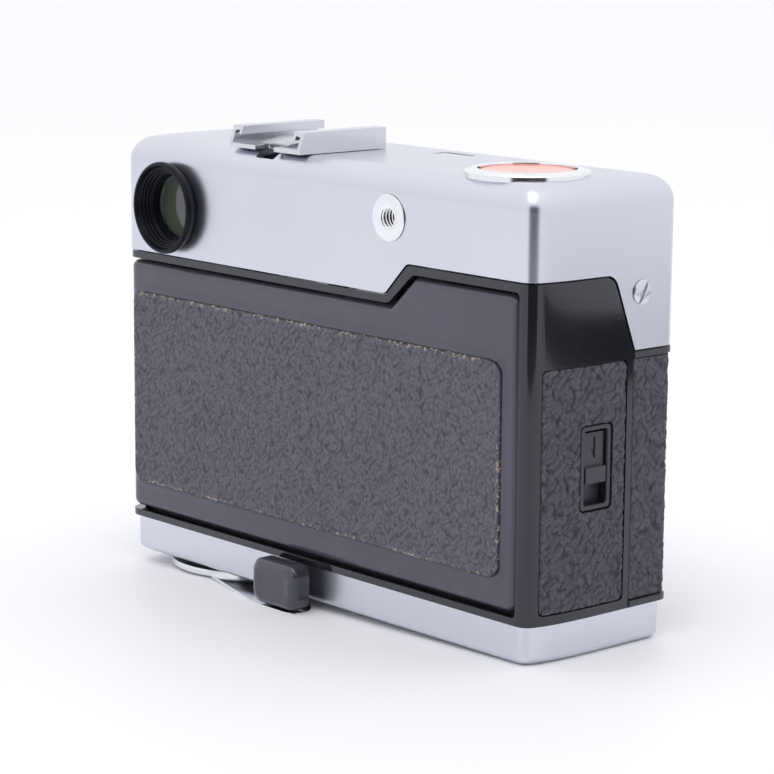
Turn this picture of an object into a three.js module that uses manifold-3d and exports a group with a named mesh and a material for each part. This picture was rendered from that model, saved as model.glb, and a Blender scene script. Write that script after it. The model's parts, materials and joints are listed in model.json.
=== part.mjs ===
// Compact 35 mm rangefinder camera with a lever under the base.
// Millimetres, +Z up, front towards -Y, eyepiece on the +X side.
// Inside the group Z = 0 is the underside of the base plate and Y = 0 the flat back of the top cover.
import * as THREE from "three";
import { mergeVertices } from "three/addons/utils/BufferGeometryUtils.js";
import Module from "manifold-3d";

const wasm = await Module();
wasm.setup();

// Overall sizes
const coverHalfWidth = 57.5;
const bodyDepth = 34;
const coverTopZ = 82;
const basePlateHeight = 6.8;

// Clearances
const gap = 0.3;
const slideGap = 0.4;
const cutOver = 5;

// Body outline seen from above
const baseInset = 0.9;
const rearTaper = 1.8;
const rearCornerRadius = 2.5;
const frontCornerRadius = 3;
const skinInset = 0.2;

// Top cover
const coverWall = 1;
const coverEdgeRadius = 4.5;
const coverFrontEdgeZ = 52.5;
const coverBackEdgeZ = 60.05;
const coverStepEdgeZ = 65.9;
const stepStartX = -19.7;
const stepEndX = -25.4;
const sideEdgeTopY = -18.5;
const sideEdgeBottomY = -23.7;

// Base plate
const basePlateFloor = 1.2;
const basePlateWall = 1.1;
const baseEdgeRadius = 1.6;

// Rear frame and back door
const frameWall = 1.6;
const doorBottomZ = 8.9;
const doorTopZ = 57.9;
const doorStepTopZ = 63.6;
const doorStepStartX = -20.7;
const doorStepEndX = -27;
const doorFreeEdgeInset = 4.75;
const doorFreeEdgeX = doorFreeEdgeInset - coverHalfWidth;
const doorThickness = 2;
const doorWrapEndY = -16;
const doorGap = 0.5;
const leatherThickness = 0.8;
const leatherProud = 0.5;
const doorLeatherLeftInset = 3.9;
const doorLeatherRightInset = 8.1;
const doorLeatherLeftX = coverHalfWidth - doorLeatherLeftInset;
const doorLeatherRightX = doorLeatherRightInset - coverHalfWidth;
const doorLeatherBottomZ = 14.4;
const doorLeatherTopZ = 52;
const leatherCornerRadius = 3;

// Door hinge
const hingeInset = 2.9;
const hingeX = coverHalfWidth - hingeInset;
const hingeY = -19;
const hingeBarrelRadius = 2.2;
const hingePinRadius = 0.9;
const hingeKnuckleLength = 6;

// Side skin and latch window
const sideLeatherFrontY = -22;
const sideLeatherBackY = -2.8;
const sideLeatherTopZ = 51;
const latchWindowY = -15;
const latchWindowZ = 33.2;
const latchWindowWidth = 5.4;
const latchWindowHeight = 12.8;
const latchFrameWidth = 0.9;
const latchBarZ = 31.9;
const latchBarHeight = 2.8;

// Film chambers and gate
const chassisTopZ = 58.6;
const gateWidth = 36;
const gateHeight = 24;
const lensAxisZ = 33.4;
const filmPlaneY = -5.2;
const cassetteInset = 18.5;
const cassetteX = cassetteInset - coverHalfWidth;
const cassetteRadius = 13.2;
const takeUpInset = 19.3;
const takeUpX = coverHalfWidth - takeUpInset;
const takeUpRadius = 12.6;
const chamberY = -17.4;
const chamberBottomZ = 9.8;
const chamberTopZ = 57;
const sprocketX = 22.4;
const sprocketY = -8.4;
const sprocketRadius = 3.4;
const sprocketTooth = 0.7;

// Lens and shutter, from the mount forward
const neckRadius = 14.6;
const neckLength = 12.9;
const flangeRadius = 18.5;
const flangeThickness = 1.5;
const barrelRadius = 23;
const barrelLength = 9;
const coreRadius = 19.6;
const coreBore = 17.6;
const coreLength = 12.1;
const exposureRingRadius = 24.2;
const exposureRingLength = 5;
const focusRingRadius = 23.4;
const focusRingLength = 6.4;
const focusLeverReach = 5;
const lensCellLength = 9;
const frontGlassRadius = 9;
const rearGlassRadius = 8.7;
const shutterOpening = 6.5;
const shutterFloor = 2.9;
const bladeThickness = 0.4;
const bladeHeight = 14;
const bladeReach = 8.5;

// Eyepiece
const eyepieceInset = 15.7;
const eyepieceX = coverHalfWidth - eyepieceInset;
const eyepieceZ = 69.3;
const eyepieceRadius = 8.75;
const eyepieceBore = 6.2;
const eyepieceProud = 2.6;

// Controls on the top
const releaseInset = 15.4;
const releaseX = releaseInset - coverHalfWidth;
const releaseY = -12.4;
const releaseRingRadius = 10.9;
const releaseRingProud = 1.2;
const buttonRadius = 8.2;
const buttonRecess = 0.4;
const buttonTravel = 1.2;
const counterWindowX = -10.2;
const counterWindowY = -25;
const counterWindowLength = 8.4;
const counterWindowWidth = 3.6;

// Accessory shoe
const shoeX = 15.1;
const shoeWidth = 20.5;
const shoeWall = 0.95;
const shoeBackY = -1.3;
const shoeLength = 20.6;
const shoeHeight = 4.1;
const shoeLipWidth = 2.9;
const shoeLipThickness = 1.6;
const shoeFloor = 0.8;
const shoeTongueGap = 5.3;

// Advance lever under the base
const leverDiscRadius = 16.5;
const leverThickness = 1.4;
const leverDrop = 1.8;
const leverShaftRadius = 4;
const thumbTabLeftX = 11.6;
const thumbTabRightX = -0.9;
const thumbTabTopZ = 7.6;
const thumbTabBackY = 5;
const thumbTabFrontY = 1;

// Front window panel
const panelInset = 3;
const panelHalfWidth = coverHalfWidth - panelInset;
const panelBottomZ = 61;
const panelTopZ = 78;
const panelThickness = 1;
const finderWindowWidth = 15;
const finderWindowHeight = 11;
const frameWindowX = 22;
const frameWindowWidth = 12;
const frameWindowHeight = 8;
const rangeWindowX = 4;
const rangeWindowWidth = 6;
const rangeWindowHeight = 5;

// Rewind, battery and tripod fittings in the base
const fittingsY = -17.4;
const rewindRadius = 9;
const rewindShaftRadius = 1.5;
const forkZ = 15;
const crankLength = 14;
const crankWidth = 4;
const crankThickness = 0.8;
const batteryX = -20;
const batteryCoverRadius = 6.5;
const tripodX = 2;

// Standard fittings
const tripodBushRadius = 6;
const tripodThreadRadius = 3.2;
const screwHeadRadius = 2.15;
const cableBushX = -20.7;
const cableBushZ = 73.4;
const cableBushRadius = 4.15;
const cableHoleRadius = 1.65;

const roundSteps = 32;
const smallRoundSteps = 20;

// ---------- Materials ----------

function finish(color, roughness, metalness = 0) {
  return new THREE.MeshStandardMaterial({ color, roughness, metalness });
}

const satinChrome = finish(0xced2e1, 0.32, 0.9);
const brightChrome = finish(0xe6e9ee, 0.14, 1);
const alloy = finish(0x9a9da3, 0.5, 0.8);
const blackPlastic = finish(0x24252b, 0.4);
const glossBlack = finish(0x141418, 0.12);
const leatherette = finish(0x2e3036, 0.75);
const glass = finish(0xaab4ba, 0.05);
const orangePlastic = finish(0xe8583a, 0.35);
const springSteel = finish(0xb9bcc2, 0.3, 0.95);
const brass = finish(0xb59a5a, 0.35, 0.9);

// ---------- Shapes and solids ----------

const camera = new THREE.Group();

// A closed geometry as a solid, turned to face outwards.
function solid(geometry) {
  const plain = geometry.index ? geometry.toNonIndexed() : geometry.clone();
  plain.deleteAttribute("normal");
  plain.deleteAttribute("uv");
  const merged = mergeVertices(plain, 1e-4);
  const vertProperties = merged.attributes.position.array;
  const triVerts = new Uint32Array(merged.index.array);
  const made = new wasm.Manifold(new wasm.Mesh({ numProp: 3, vertProperties, triVerts }));
  if (made.volume() > 0) return made;
  for (let i = 0; i < triVerts.length; i += 3) {
    [triVerts[i + 1], triVerts[i + 2]] = [triVerts[i + 2], triVerts[i + 1]];
  }
  return new wasm.Manifold(new wasm.Mesh({ numProp: 3, vertProperties, triVerts }));
}

function geometryOf(made) {
  const { vertProperties, triVerts } = made.getMesh();
  const geometry = new THREE.BufferGeometry();
  geometry.setAttribute("position", new THREE.BufferAttribute(new Float32Array(vertProperties), 3));
  geometry.setIndex(new THREE.BufferAttribute(new Uint32Array(triVerts), 1));
  return geometry;
}

// Puts a named piece into the camera.
function piece(name, made, material) {
  const mesh = new THREE.Mesh(geometryOf(made), material);
  mesh.name = name;
  camera.add(mesh);
  return mesh;
}

function box(x0, x1, y0, y1, z0, z1) {
  const geometry = new THREE.BoxGeometry(x1 - x0, y1 - y0, z1 - z0);
  return solid(geometry.translate((x0 + x1) / 2, (y0 + y1) / 2, (z0 + z1) / 2));
}

function polygon(points) {
  return new THREE.Shape(points.map(([u, v]) => new THREE.Vector2(u, v)));
}

function extruded(shape, depth, curveSegments = 6) {
  return new THREE.ExtrudeGeometry(shape, { depth, bevelEnabled: false, curveSegments });
}

// Outline in X and Y, carried from z0 up to z1.
function prismZ(shape, z0, z1, curveSegments) {
  return solid(extruded(shape, z1 - z0, curveSegments).translate(0, 0, z0));
}

// Outline in X and Z, carried from y0 to y1.
function prismY(shape, y0, y1, curveSegments) {
  return solid(extruded(shape, y1 - y0, curveSegments).rotateX(Math.PI / 2).translate(0, y1, 0));
}

// Outline in Y and Z, carried from x0 to x1.
function prismX(shape, x0, x1, curveSegments) {
  const turn = new THREE.Matrix4().makeBasis(
    new THREE.Vector3(0, 1, 0),
    new THREE.Vector3(0, 0, 1),
    new THREE.Vector3(1, 0, 0),
  );
  return solid(extruded(shape, x1 - x0, curveSegments).applyMatrix4(turn).translate(x0, 0, 0));
}

// Outlines stacked in Z: levels are [height, inset] and rise in Z, and outlineAt gives the outline,
// drawn clockwise, at an inset.
function stacked(outlineAt, levels) {
  const rings = levels.map(([, inset]) => outlineAt(inset).getPoints(5).slice(0, -1).reverse());
  const count = rings[0].length;
  const positions = levels.flatMap(([z], level) => rings[level].flatMap((p) => [p.x, p.y, z]));
  const index = [];
  for (let level = 0; level < levels.length - 1; level++) {
    for (let i = 0; i < count; i++) {
      const a = level * count + i;
      const b = level * count + ((i + 1) % count);
      index.push(a, b, b + count, a, b + count, a + count);
    }
  }
  const top = (levels.length - 1) * count;
  for (const [a, b, c] of THREE.ShapeUtils.triangulateShape(rings[0], [])) {
    index.push(a, c, b, top + a, top + b, top + c);
  }
  const geometry = new THREE.BufferGeometry();
  geometry.setAttribute("position", new THREE.Float32BufferAttribute(positions, 3));
  geometry.setIndex(index);
  return solid(geometry);
}

// A prism in Z with its top (rise = 1) or bottom (rise = -1) edge rounded.
function softPrismZ(outlineAt, squareZ, roundZ, radius, rise, steps = 4) {
  const levels = [[squareZ, 0]];
  for (let i = 0; i <= steps; i++) {
    const angle = (i / steps) * (Math.PI / 2);
    levels.push([roundZ - rise * radius * (1 - Math.sin(angle)), radius * (1 - Math.cos(angle))]);
  }
  return stacked(outlineAt, rise > 0 ? levels : levels.reverse());
}

function roundedRect(u0, u1, v0, v1, radius) {
  const shape = new THREE.Shape();
  shape.moveTo(u0 + radius, v0);
  shape.lineTo(u1 - radius, v0);
  shape.absarc(u1 - radius, v0 + radius, radius, -Math.PI / 2, 0);
  shape.lineTo(u1, v1 - radius);
  shape.absarc(u1 - radius, v1 - radius, radius, 0, Math.PI / 2);
  shape.lineTo(u0 + radius, v1);
  shape.absarc(u0 + radius, v1 - radius, radius, Math.PI / 2, Math.PI);
  shape.lineTo(u0, v0 + radius);
  shape.absarc(u0 + radius, v0 + radius, radius, Math.PI, 1.5 * Math.PI);
  return shape;
}

// A turned piece about Z: points are [radius, height].
function turnedZ(points, x, y, steps = smallRoundSteps) {
  const profile = points.map(([r, z]) => new THREE.Vector2(r, z));
  return solid(new THREE.LatheGeometry(profile, steps).rotateX(Math.PI / 2).translate(x, y, 0));
}

// A turned piece about Y: points are [radius, y].
function turnedY(points, x, z, steps = roundSteps) {
  const profile = points.map(([r, y]) => new THREE.Vector2(r, y));
  return solid(new THREE.LatheGeometry(profile, steps).translate(x, 0, z));
}

// A turned piece about X: points are [radius, x].
function turnedX(points, y, z, steps = smallRoundSteps) {
  const profile = points.map(([r, x]) => new THREE.Vector2(r, x));
  return solid(new THREE.LatheGeometry(profile, steps).rotateZ(-Math.PI / 2).translate(0, y, z));
}

function plug(radius, low, high) {
  return [[0, low], [radius, low], [radius, high], [0, high]];
}

function sleeve(inner, outer, low, high) {
  return [[inner, low], [outer, low], [outer, high], [inner, high], [inner, low]];
}

function joined(...solids) {
  return solids.reduce((whole, part) => whole.add(part));
}

// ---------- Body outline ----------

// Seen from above: a flat back, ends that swell slightly towards the front, soft front corners.
function bodyOutline(inset) {
  const half = coverHalfWidth - inset;
  const back = -inset;
  const front = -bodyDepth + inset;
  const middle = (back + front) / 2;
  const rearHalf = half - rearTaper;
  const rear = Math.max(rearCornerRadius - inset / 2, 0.6);
  const nose = Math.max(frontCornerRadius - inset / 2, 1);
  const shape = new THREE.Shape();
  shape.moveTo(-rearHalf + rear, back);
  shape.lineTo(rearHalf - rear, back);
  shape.quadraticCurveTo(rearHalf, back, rearHalf + 0.25 * rear, back - rear);
  shape.quadraticCurveTo(half, back - 0.35 * (back - middle), half, middle);
  shape.lineTo(half, front + nose);
  shape.quadraticCurveTo(half, front, half - nose, front);
  shape.lineTo(-half + nose, front);
  shape.quadraticCurveTo(-half, front, -half, front + nose);
  shape.lineTo(-half, middle);
  shape.quadraticCurveTo(-half, back - 0.35 * (back - middle), -rearHalf - 0.25 * rear, back - rear);
  shape.quadraticCurveTo(-rearHalf, back, -rearHalf + rear, back);
  return shape;
}

// Everything behind the slanted front edge of the rear frame, up to a height.
function behindSideEdge(x0, x1, topZ, shift) {
  const slope = (sideEdgeTopY - sideEdgeBottomY) / (coverBackEdgeZ + 3.75 - coverFrontEdgeZ);
  const topY = sideEdgeBottomY + slope * (topZ - coverFrontEdgeZ);
  const outline = polygon([
    [cutOver, -cutOver],
    [cutOver, topZ],
    [topY + shift, topZ],
    [sideEdgeBottomY + shift, coverFrontEdgeZ],
    [sideEdgeBottomY + shift, -cutOver],
  ]);
  return prismX(outline, x0, x1);
}

// The region under the top cover's stepped rear edge, which the rear frame fills.
function underCover(drop, shift) {
  const far = coverHalfWidth + cutOver;
  const slantShift = drop * 0.4;
  const leftX = stepEndX - slantShift - 0.5;
  const left = box(leftX, far, sideEdgeBottomY + shift, cutOver, -cutOver, coverBackEdgeZ - drop);
  const right = behindSideEdge(-far, stepEndX - slantShift, coverStepEdgeZ - drop, shift);
  const slant = polygon([
    [stepEndX - slantShift - 0.5, coverBackEdgeZ - drop - 1],
    [stepStartX - slantShift, coverBackEdgeZ - drop - 1],
    [stepStartX - slantShift, coverBackEdgeZ - drop],
    [stepEndX - slantShift, coverStepEdgeZ - drop],
    [stepEndX - slantShift - 0.5, coverStepEdgeZ - drop],
  ]);
  return joined(left, right, prismY(slant, sideEdgeTopY, cutOver));
}

// ---------- Casings ----------

const farX = coverHalfWidth + cutOver;
const casingInset = skinInset + leatherThickness + 0.1;
const frameInset = 0.1;
const coreInset = frameInset + frameWall + gap + 0.6;
const bodyBottomZ = basePlateHeight + gap;

function topCover() {
  const outer = softPrismZ(bodyOutline, coverFrontEdgeZ, coverTopZ, coverEdgeRadius, 1);
  const innerOutline = (inset) => bodyOutline(coverWall + inset);
  const innerRadius = coverEdgeRadius - coverWall;
  const inner = softPrismZ(innerOutline, coverFrontEdgeZ - 1, coverTopZ - coverWall, innerRadius, 1);
  const eyepieceHole = turnedY(plug(eyepieceBore + 1.4, -3, 1), eyepieceX, eyepieceZ);
  const bushHole = turnedY(plug(cableHoleRadius + 1, -3, 1), cableBushX, cableBushZ, smallRoundSteps);
  const buttonHole = turnedZ(plug(buttonRadius + 1.6, coverTopZ - 3, coverTopZ + 1), releaseX, releaseY);
  const windowHole = box(
    counterWindowX - counterWindowLength / 2,
    counterWindowX + counterWindowLength / 2,
    counterWindowY - counterWindowWidth / 2,
    counterWindowY + counterWindowWidth / 2,
    coverTopZ - 3,
    coverTopZ + 1,
  );
  let cover = outer.subtract(inner).subtract(underCover(0, 0));
  for (const cut of [eyepieceHole, bushHole, buttonHole, windowHole, windowOpenings(-gap)]) {
    cover = cover.subtract(cut);
  }
  for (const side of [-1, 1]) {
    cover = cover.subtract(screwHole(side));
  }
  return cover;
}

const sideScrewY = -25;
const sideScrewZ = 62.4;

function screwHole(side) {
  const reach = [[0, 0], [1.3, 0], [1.3, side * farX], [0, side * farX]];
  return turnedX(reach, sideScrewY, sideScrewZ, 16);
}

// The three openings behind the front window panel; grow widens them all round.
function windowOpenings(grow) {
  const windows = [
    [eyepieceX, finderWindowWidth, finderWindowHeight],
    [frameWindowX, frameWindowWidth, frameWindowHeight],
    [rangeWindowX, rangeWindowWidth, rangeWindowHeight],
  ];
  const cuts = windows.map(([x, width, height]) =>
    box(
      x - width / 2 - grow,
      x + width / 2 + grow,
      -bodyDepth - 3,
      -bodyDepth + 3,
      eyepieceZ - height / 2 - grow,
      eyepieceZ + height / 2 + grow,
    ),
  );
  return joined(...cuts);
}

const hubX = takeUpX;
const baseScrewInset = 5.5;
const baseScrews = [
  [coverHalfWidth - baseScrewInset, -29],
  [baseScrewInset - coverHalfWidth, -6],
  [20, -29],
];

function basePlate() {
  const outerOutline = (inset) => bodyOutline(baseInset + inset);
  const outer = softPrismZ(outerOutline, basePlateHeight, 0, baseEdgeRadius, -1, 3);
  const inner = prismZ(bodyOutline(baseInset + basePlateWall), basePlateFloor, basePlateHeight + 1);
  const holes = [
    [hubX, chamberY, leverShaftRadius + slideGap],
    [cassetteX, chamberY, rewindRadius + slideGap],
    [tripodX, fittingsY, tripodBushRadius + gap],
    [batteryX, fittingsY, batteryCoverRadius + gap],
    ...baseScrews.map(([x, y]) => [x, y, screwHeadRadius + gap]),
  ];
  let plate = outer.subtract(inner);
  for (const [x, y, radius] of holes) {
    plate = plate.subtract(turnedZ(plug(radius, -1, basePlateFloor + 1), x, y));
  }
  return plate;
}

// The die-cast chassis: chambers at both ends, the light box between them and the lens bore.
function bodyCasting() {
  const core = prismZ(bodyOutline(coreInset), bodyBottomZ, chassisTopZ);
  const nose = prismZ(bodyOutline(casingInset), bodyBottomZ, coverFrontEdgeZ - gap);
  const noseKeep = box(-farX, farX, -bodyDepth - 1, sideEdgeBottomY, 0, coverTopZ);
  const gateBottom = lensAxisZ - gateHeight / 2;
  const gateTop = lensAxisZ + gateHeight / 2;
  const filmTrack = gateWidth / 2 + 9;
  const cuts = [
    turnedZ(plug(cassetteRadius, chamberBottomZ, chamberTopZ), cassetteX, chamberY),
    box(cassetteX - cassetteRadius, cassetteX + cassetteRadius, chamberY, 1, chamberBottomZ, chamberTopZ),
    turnedZ(plug(takeUpRadius, chamberBottomZ, chamberTopZ), takeUpX, chamberY),
    box(takeUpX - takeUpRadius, takeUpX + takeUpRadius, chamberY, 1, chamberBottomZ, chamberTopZ),
    box(-filmTrack, filmTrack, filmPlaneY, 1, gateBottom - 7, gateTop + 7),
    box(-gateWidth / 2, gateWidth / 2, -21, 1, gateBottom, gateTop),
    turnedY(plug(neckRadius + gap, -bodyDepth - 1, -18), 0, lensAxisZ),
    box(sprocketX - 4.2, sprocketX + 4.2, sprocketY - 4.6, 1, chamberBottomZ, chamberTopZ),
    box(hingeX - hingeBarrelRadius - 0.6, farX, hingeY - 2.8, 1, 0, chassisTopZ + 1),
    box(-farX, -coverHalfWidth + 4.2, latchWindowY - 4.8, latchWindowY + 4.8, 21, 45),
    turnedZ(plug(rewindShaftRadius + slideGap, 0, chamberBottomZ + 1), cassetteX, chamberY),
    turnedZ(plug(leverShaftRadius + slideGap, 0, chamberBottomZ + 1), takeUpX, chamberY),
  ];
  let casting = core.add(nose.intersect(noseKeep));
  for (const cut of cuts) casting = casting.subtract(cut);
  return casting;
}

// The door opening in the rear frame, in X and Z; grow widens it all round.
function doorPrism(grow, y0, y1) {
  const outline = polygon([
    [farX, doorBottomZ - grow],
    [farX, doorTopZ + grow],
    [doorStepStartX + grow * 0.4, doorTopZ + grow],
    [doorStepEndX + grow * 0.4, doorStepTopZ + grow],
    [doorFreeEdgeX - grow, doorStepTopZ + grow],
    [doorFreeEdgeX - grow, doorBottomZ - grow],
  ]);
  return prismY(outline, y0, y1);
}

function sideLeatherShape(grow) {
  return roundedRect(
    sideLeatherFrontY - grow,
    sideLeatherBackY + grow,
    doorBottomZ - grow,
    sideLeatherTopZ + grow,
    0.8,
  );
}

function latchWindow(grow) {
  return roundedRect(
    latchWindowY - latchWindowWidth / 2 - grow,
    latchWindowY + latchWindowWidth / 2 + grow,
    latchWindowZ - latchWindowHeight / 2 - grow,
    latchWindowZ + latchWindowHeight / 2 + grow,
    0.5,
  );
}

function rearFrame() {
  const knuckleOuter = hingeBarrelRadius;
  const bore = hingePinRadius + gap;
  const whole = prismZ(bodyOutline(frameInset), bodyBottomZ, coverStepEdgeZ).intersect(underCover(gap, gap));
  const hollow = prismZ(bodyOutline(frameInset + frameWall), 0, coverTopZ);
  const pocket = prismX(sideLeatherShape(0.1), -farX, -coverHalfWidth / 2);
  const pocketSkin = prismZ(bodyOutline(casingInset), 0, coverTopZ);
  const window = prismX(latchWindow(0), -farX, -coverHalfWidth / 2);
  let frame = whole.subtract(hollow);
  frame = frame.subtract(doorPrism(doorGap, sideEdgeBottomY - 1, 1));
  frame = frame.subtract(pocket.subtract(pocketSkin));
  frame = frame.subtract(window);
  const lowEnd = doorBottomZ + hingeKnuckleLength;
  const highEnd = doorTopZ - hingeKnuckleLength;
  frame = frame.add(turnedZ(sleeve(bore, knuckleOuter, bodyBottomZ, lowEnd), hingeX, hingeY));
  frame = frame.add(turnedZ(sleeve(bore, knuckleOuter, highEnd, coverBackEdgeZ - gap), hingeX, hingeY));
  return frame.subtract(turnedZ(plug(bore, bodyBottomZ - 1, coverBackEdgeZ + 1), hingeX, hingeY));
}

piece("body_casting", bodyCasting(), alloy);
piece("rear_frame", rearFrame(), glossBlack);
piece("top_cover", topCover(), satinChrome);
piece("base_plate", basePlate(), satinChrome);

// ---------- Covering and trim ----------

function skinShell(outer, inner) {
  return prismZ(bodyOutline(outer), 0, coverTopZ).subtract(prismZ(bodyOutline(inner), -1, coverTopZ + 1));
}

function frontLeather() {
  const band = box(-farX, farX, -bodyDepth - 1, sideEdgeBottomY, doorBottomZ - 0.5, sideLeatherTopZ);
  const lensHole = turnedY(plug(flangeRadius + gap, -bodyDepth - 2, -bodyDepth + 3), 0, lensAxisZ);
  return skinShell(skinInset, skinInset + leatherThickness).intersect(band).subtract(lensHole);
}

function sideLeather() {
  const band = prismX(sideLeatherShape(-0.1), -farX, -coverHalfWidth / 2);
  const window = prismX(latchWindow(latchFrameWidth + gap), -farX, -coverHalfWidth / 2);
  return skinShell(skinInset, skinInset + leatherThickness).intersect(band).subtract(window);
}

function latchEscutcheon() {
  const outer = prismX(latchWindow(latchFrameWidth), -farX, -coverHalfWidth / 2);
  const inner = prismX(latchWindow(0.1), -farX, -coverHalfWidth / 2);
  return skinShell(frameInset, skinInset + leatherThickness - 0.1).intersect(outer).subtract(inner);
}

// The slider: a ridged bar in the window on a plate that runs behind the frame's wall.
function latchSlider() {
  const plateX = -coverHalfWidth + frameInset + frameWall + 2 * slideGap;
  const barHalf = latchWindowWidth / 2 - gap;
  const bar = box(
    -coverHalfWidth + skinInset + 0.1,
    plateX + 0.4,
    latchWindowY - barHalf,
    latchWindowY + barHalf,
    latchBarZ - latchBarHeight / 2,
    latchBarZ + latchBarHeight / 2,
  );
  const plate = box(plateX, plateX + 0.8, latchWindowY - 4, latchWindowY + 4, 25.8, 41.5);
  return bar.add(plate);
}

piece("front_leather", frontLeather(), leatherette);
piece("side_leather", sideLeather(), leatherette);
piece("latch_escutcheon", latchEscutcheon(), blackPlastic);
piece("latch_slider", latchSlider(), blackPlastic);

// ---------- Back door ----------

function backDoor() {
  const band = prismZ(bodyOutline(0), doorBottomZ, doorStepTopZ);
  const hollow = prismZ(bodyOutline(doorThickness), 0, coverTopZ);
  const shell = band.subtract(hollow).intersect(doorPrism(0, doorWrapEndY, 1));
  const recess = prismY(doorLeatherShape(0.1), -leatherThickness + leatherProud, 1);
  const low = doorBottomZ + hingeKnuckleLength + gap;
  const high = doorTopZ - hingeKnuckleLength - gap;
  const barrel = turnedZ(sleeve(hingePinRadius + gap, hingeBarrelRadius, low, high), hingeX, hingeY);
  const web = box(hingeX + 1.3, hingeX + hingeBarrelRadius - 0.1, hingeY, doorWrapEndY + 1, low, high);
  return joined(shell.subtract(recess), web, barrel);
}

function doorLeatherShape(grow) {
  return roundedRect(
    doorLeatherRightX - grow,
    doorLeatherLeftX + grow,
    doorLeatherBottomZ - grow,
    doorLeatherTopZ + grow,
    leatherCornerRadius,
  );
}

function doorLeather() {
  return prismY(doorLeatherShape(0), -leatherThickness + leatherProud + 0.1, leatherProud, 3);
}

const plateHeight = 34;
const plateOverlap = 6;
const plateY = filmPlaneY + 0.4;

function pressurePlate() {
  const low = lensAxisZ - plateHeight / 2;
  const left = sprocketX - sprocketRadius - sprocketTooth - 2 * gap;
  const right = -gateWidth / 2 - plateOverlap;
  return prismY(roundedRect(right, left, low, low + plateHeight, 1.5), plateY, plateY + 1, 3);
}

// A bowed leaf that pushes the pressure plate away from the door.
function plateSpring() {
  const halfSpan = 15;
  const thickness = 0.3;
  const rise = 0.9;
  const bottom = plateY + 1 + gap;
  const bow = (offset) => (x) => [x, bottom + offset + rise * (1 - (x / halfSpan) ** 2)];
  const steps = [-1, -0.66, -0.33, 0, 0.33, 0.66, 1].map((share) => share * halfSpan);
  const outline = polygon([...steps.map(bow(0)), ...[...steps].reverse().map(bow(thickness))]);
  return prismZ(outline, lensAxisZ - 4, lensAxisZ + 4);
}

function latchHook() {
  const x = doorFreeEdgeX + 1.6;
  const shank = box(x, x + 1.6, -7, -doorThickness - gap, latchBarZ - 3, latchBarZ + 3);
  return shank.add(box(x - 0.8, x + 1.6, -7, -6, latchBarZ - 3, latchBarZ + 3));
}

function hingePin() {
  return turnedZ(plug(hingePinRadius, bodyBottomZ + 0.4, coverBackEdgeZ - 1), hingeX, hingeY, 12);
}

piece("back_door", backDoor(), blackPlastic);
piece("door_leather", doorLeather(), leatherette);
piece("pressure_plate", pressurePlate(), blackPlastic);
piece("pressure_plate_spring", plateSpring(), springSteel);
piece("latch_hook", latchHook(), springSteel);
piece("door_hinge_pin", hingePin(), springSteel);

// ---------- Film transport ----------

function takeUpSpool() {
  const low = chamberBottomZ + gap;
  const high = chamberTopZ - gap;
  return turnedZ(
    [[0, low], [9.5, low], [9.5, low + 1.5], [5.5, low + 1.5], [5.5, high - 1.5], [9.5, high - 1.5],
      [9.5, high], [0, high]],
    takeUpX,
    chamberY,
  );
}

// A film sprocket: two toothed rims on a shaft.
function sprocket() {
  const low = chamberBottomZ + gap;
  const high = chamberTopZ - gap;
  const rimGap = 25.4;
  const rimWidth = 2;
  const middle = lensAxisZ;
  let whole = turnedZ(plug(2.2, low, high), sprocketX, sprocketY);
  for (const side of [-1, 1]) {
    const centre = middle + (side * (rimGap + rimWidth)) / 2;
    const rim = plug(sprocketRadius, centre - rimWidth / 2, centre + rimWidth / 2);
    whole = whole.add(turnedZ(rim, sprocketX, sprocketY, 16));
    for (let tooth = 0; tooth < 8; tooth++) {
      const angle = (tooth / 8) * 360;
      const point = box(0, sprocketRadius + sprocketTooth, -0.5, 0.5, centre - 0.5, centre + 0.5);
      whole = whole.add(point.rotate([0, 0, angle]).translate([sprocketX, sprocketY, 0]));
    }
  }
  return whole;
}

// The lever disc with its arm, which ends under the thumb tab, and its shaft.
function advanceLever() {
  const low = -leverDrop;
  const high = low + leverThickness;
  const tabX = (thumbTabLeftX + thumbTabRightX) / 2;
  const disc = turnedZ(
    [
      [0, low],
      [leverDiscRadius - 0.5, low],
      [leverDiscRadius, low + 0.5],
      [leverDiscRadius, high],
      [0, high],
    ],
    hubX,
    chamberY,
    36,
  );
  const armTop = low + 0.6;
  const arm = prismZ(
    polygon([
      [hubX - 4, chamberY + leverDiscRadius - 1.5],
      [thumbTabLeftX - 0.6, thumbTabBackY - 0.4],
      [thumbTabRightX + 1.2, thumbTabBackY - 0.4],
      [thumbTabRightX + 0.6, thumbTabFrontY - 1],
      [tabX, -4],
      [hubX - leverDiscRadius + 2, chamberY],
    ]),
    low,
    armTop,
  );
  const shaft = turnedZ(plug(leverShaftRadius, low + 0.2, basePlateHeight), hubX, chamberY);
  return joined(disc, arm, shaft);
}

function thumbTab() {
  const side = roundedRect(thumbTabFrontY, thumbTabBackY, -leverDrop + 0.9, thumbTabTopZ, 1.2);
  return prismX(side, thumbTabRightX, thumbTabLeftX, 4);
}

// The rewind disc, flush with the base, with its shaft and the fork that turns the cassette.
function rewindKnob() {
  const pocket = box(
    cassetteX - crankLength / 2 - gap,
    cassetteX + crankLength / 2 + gap,
    fittingsY - crankWidth / 2 - gap,
    fittingsY + crankWidth / 2 + gap,
    -1,
    crankThickness + 2 * gap,
  );
  const disc = turnedZ(plug(rewindRadius, gap, 3), cassetteX, fittingsY);
  return disc.subtract(pocket);
}

function rewindFork() {
  const bladeTop = forkZ;
  const shaft = turnedZ(plug(rewindShaftRadius, 3 + gap, bladeTop - 2), cassetteX, fittingsY, 16);
  const half = 2.4;
  const blade = box(cassetteX - half, cassetteX + half, fittingsY - 0.5, fittingsY + 0.5, bladeTop - 3, bladeTop);
  return shaft.add(blade);
}

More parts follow.
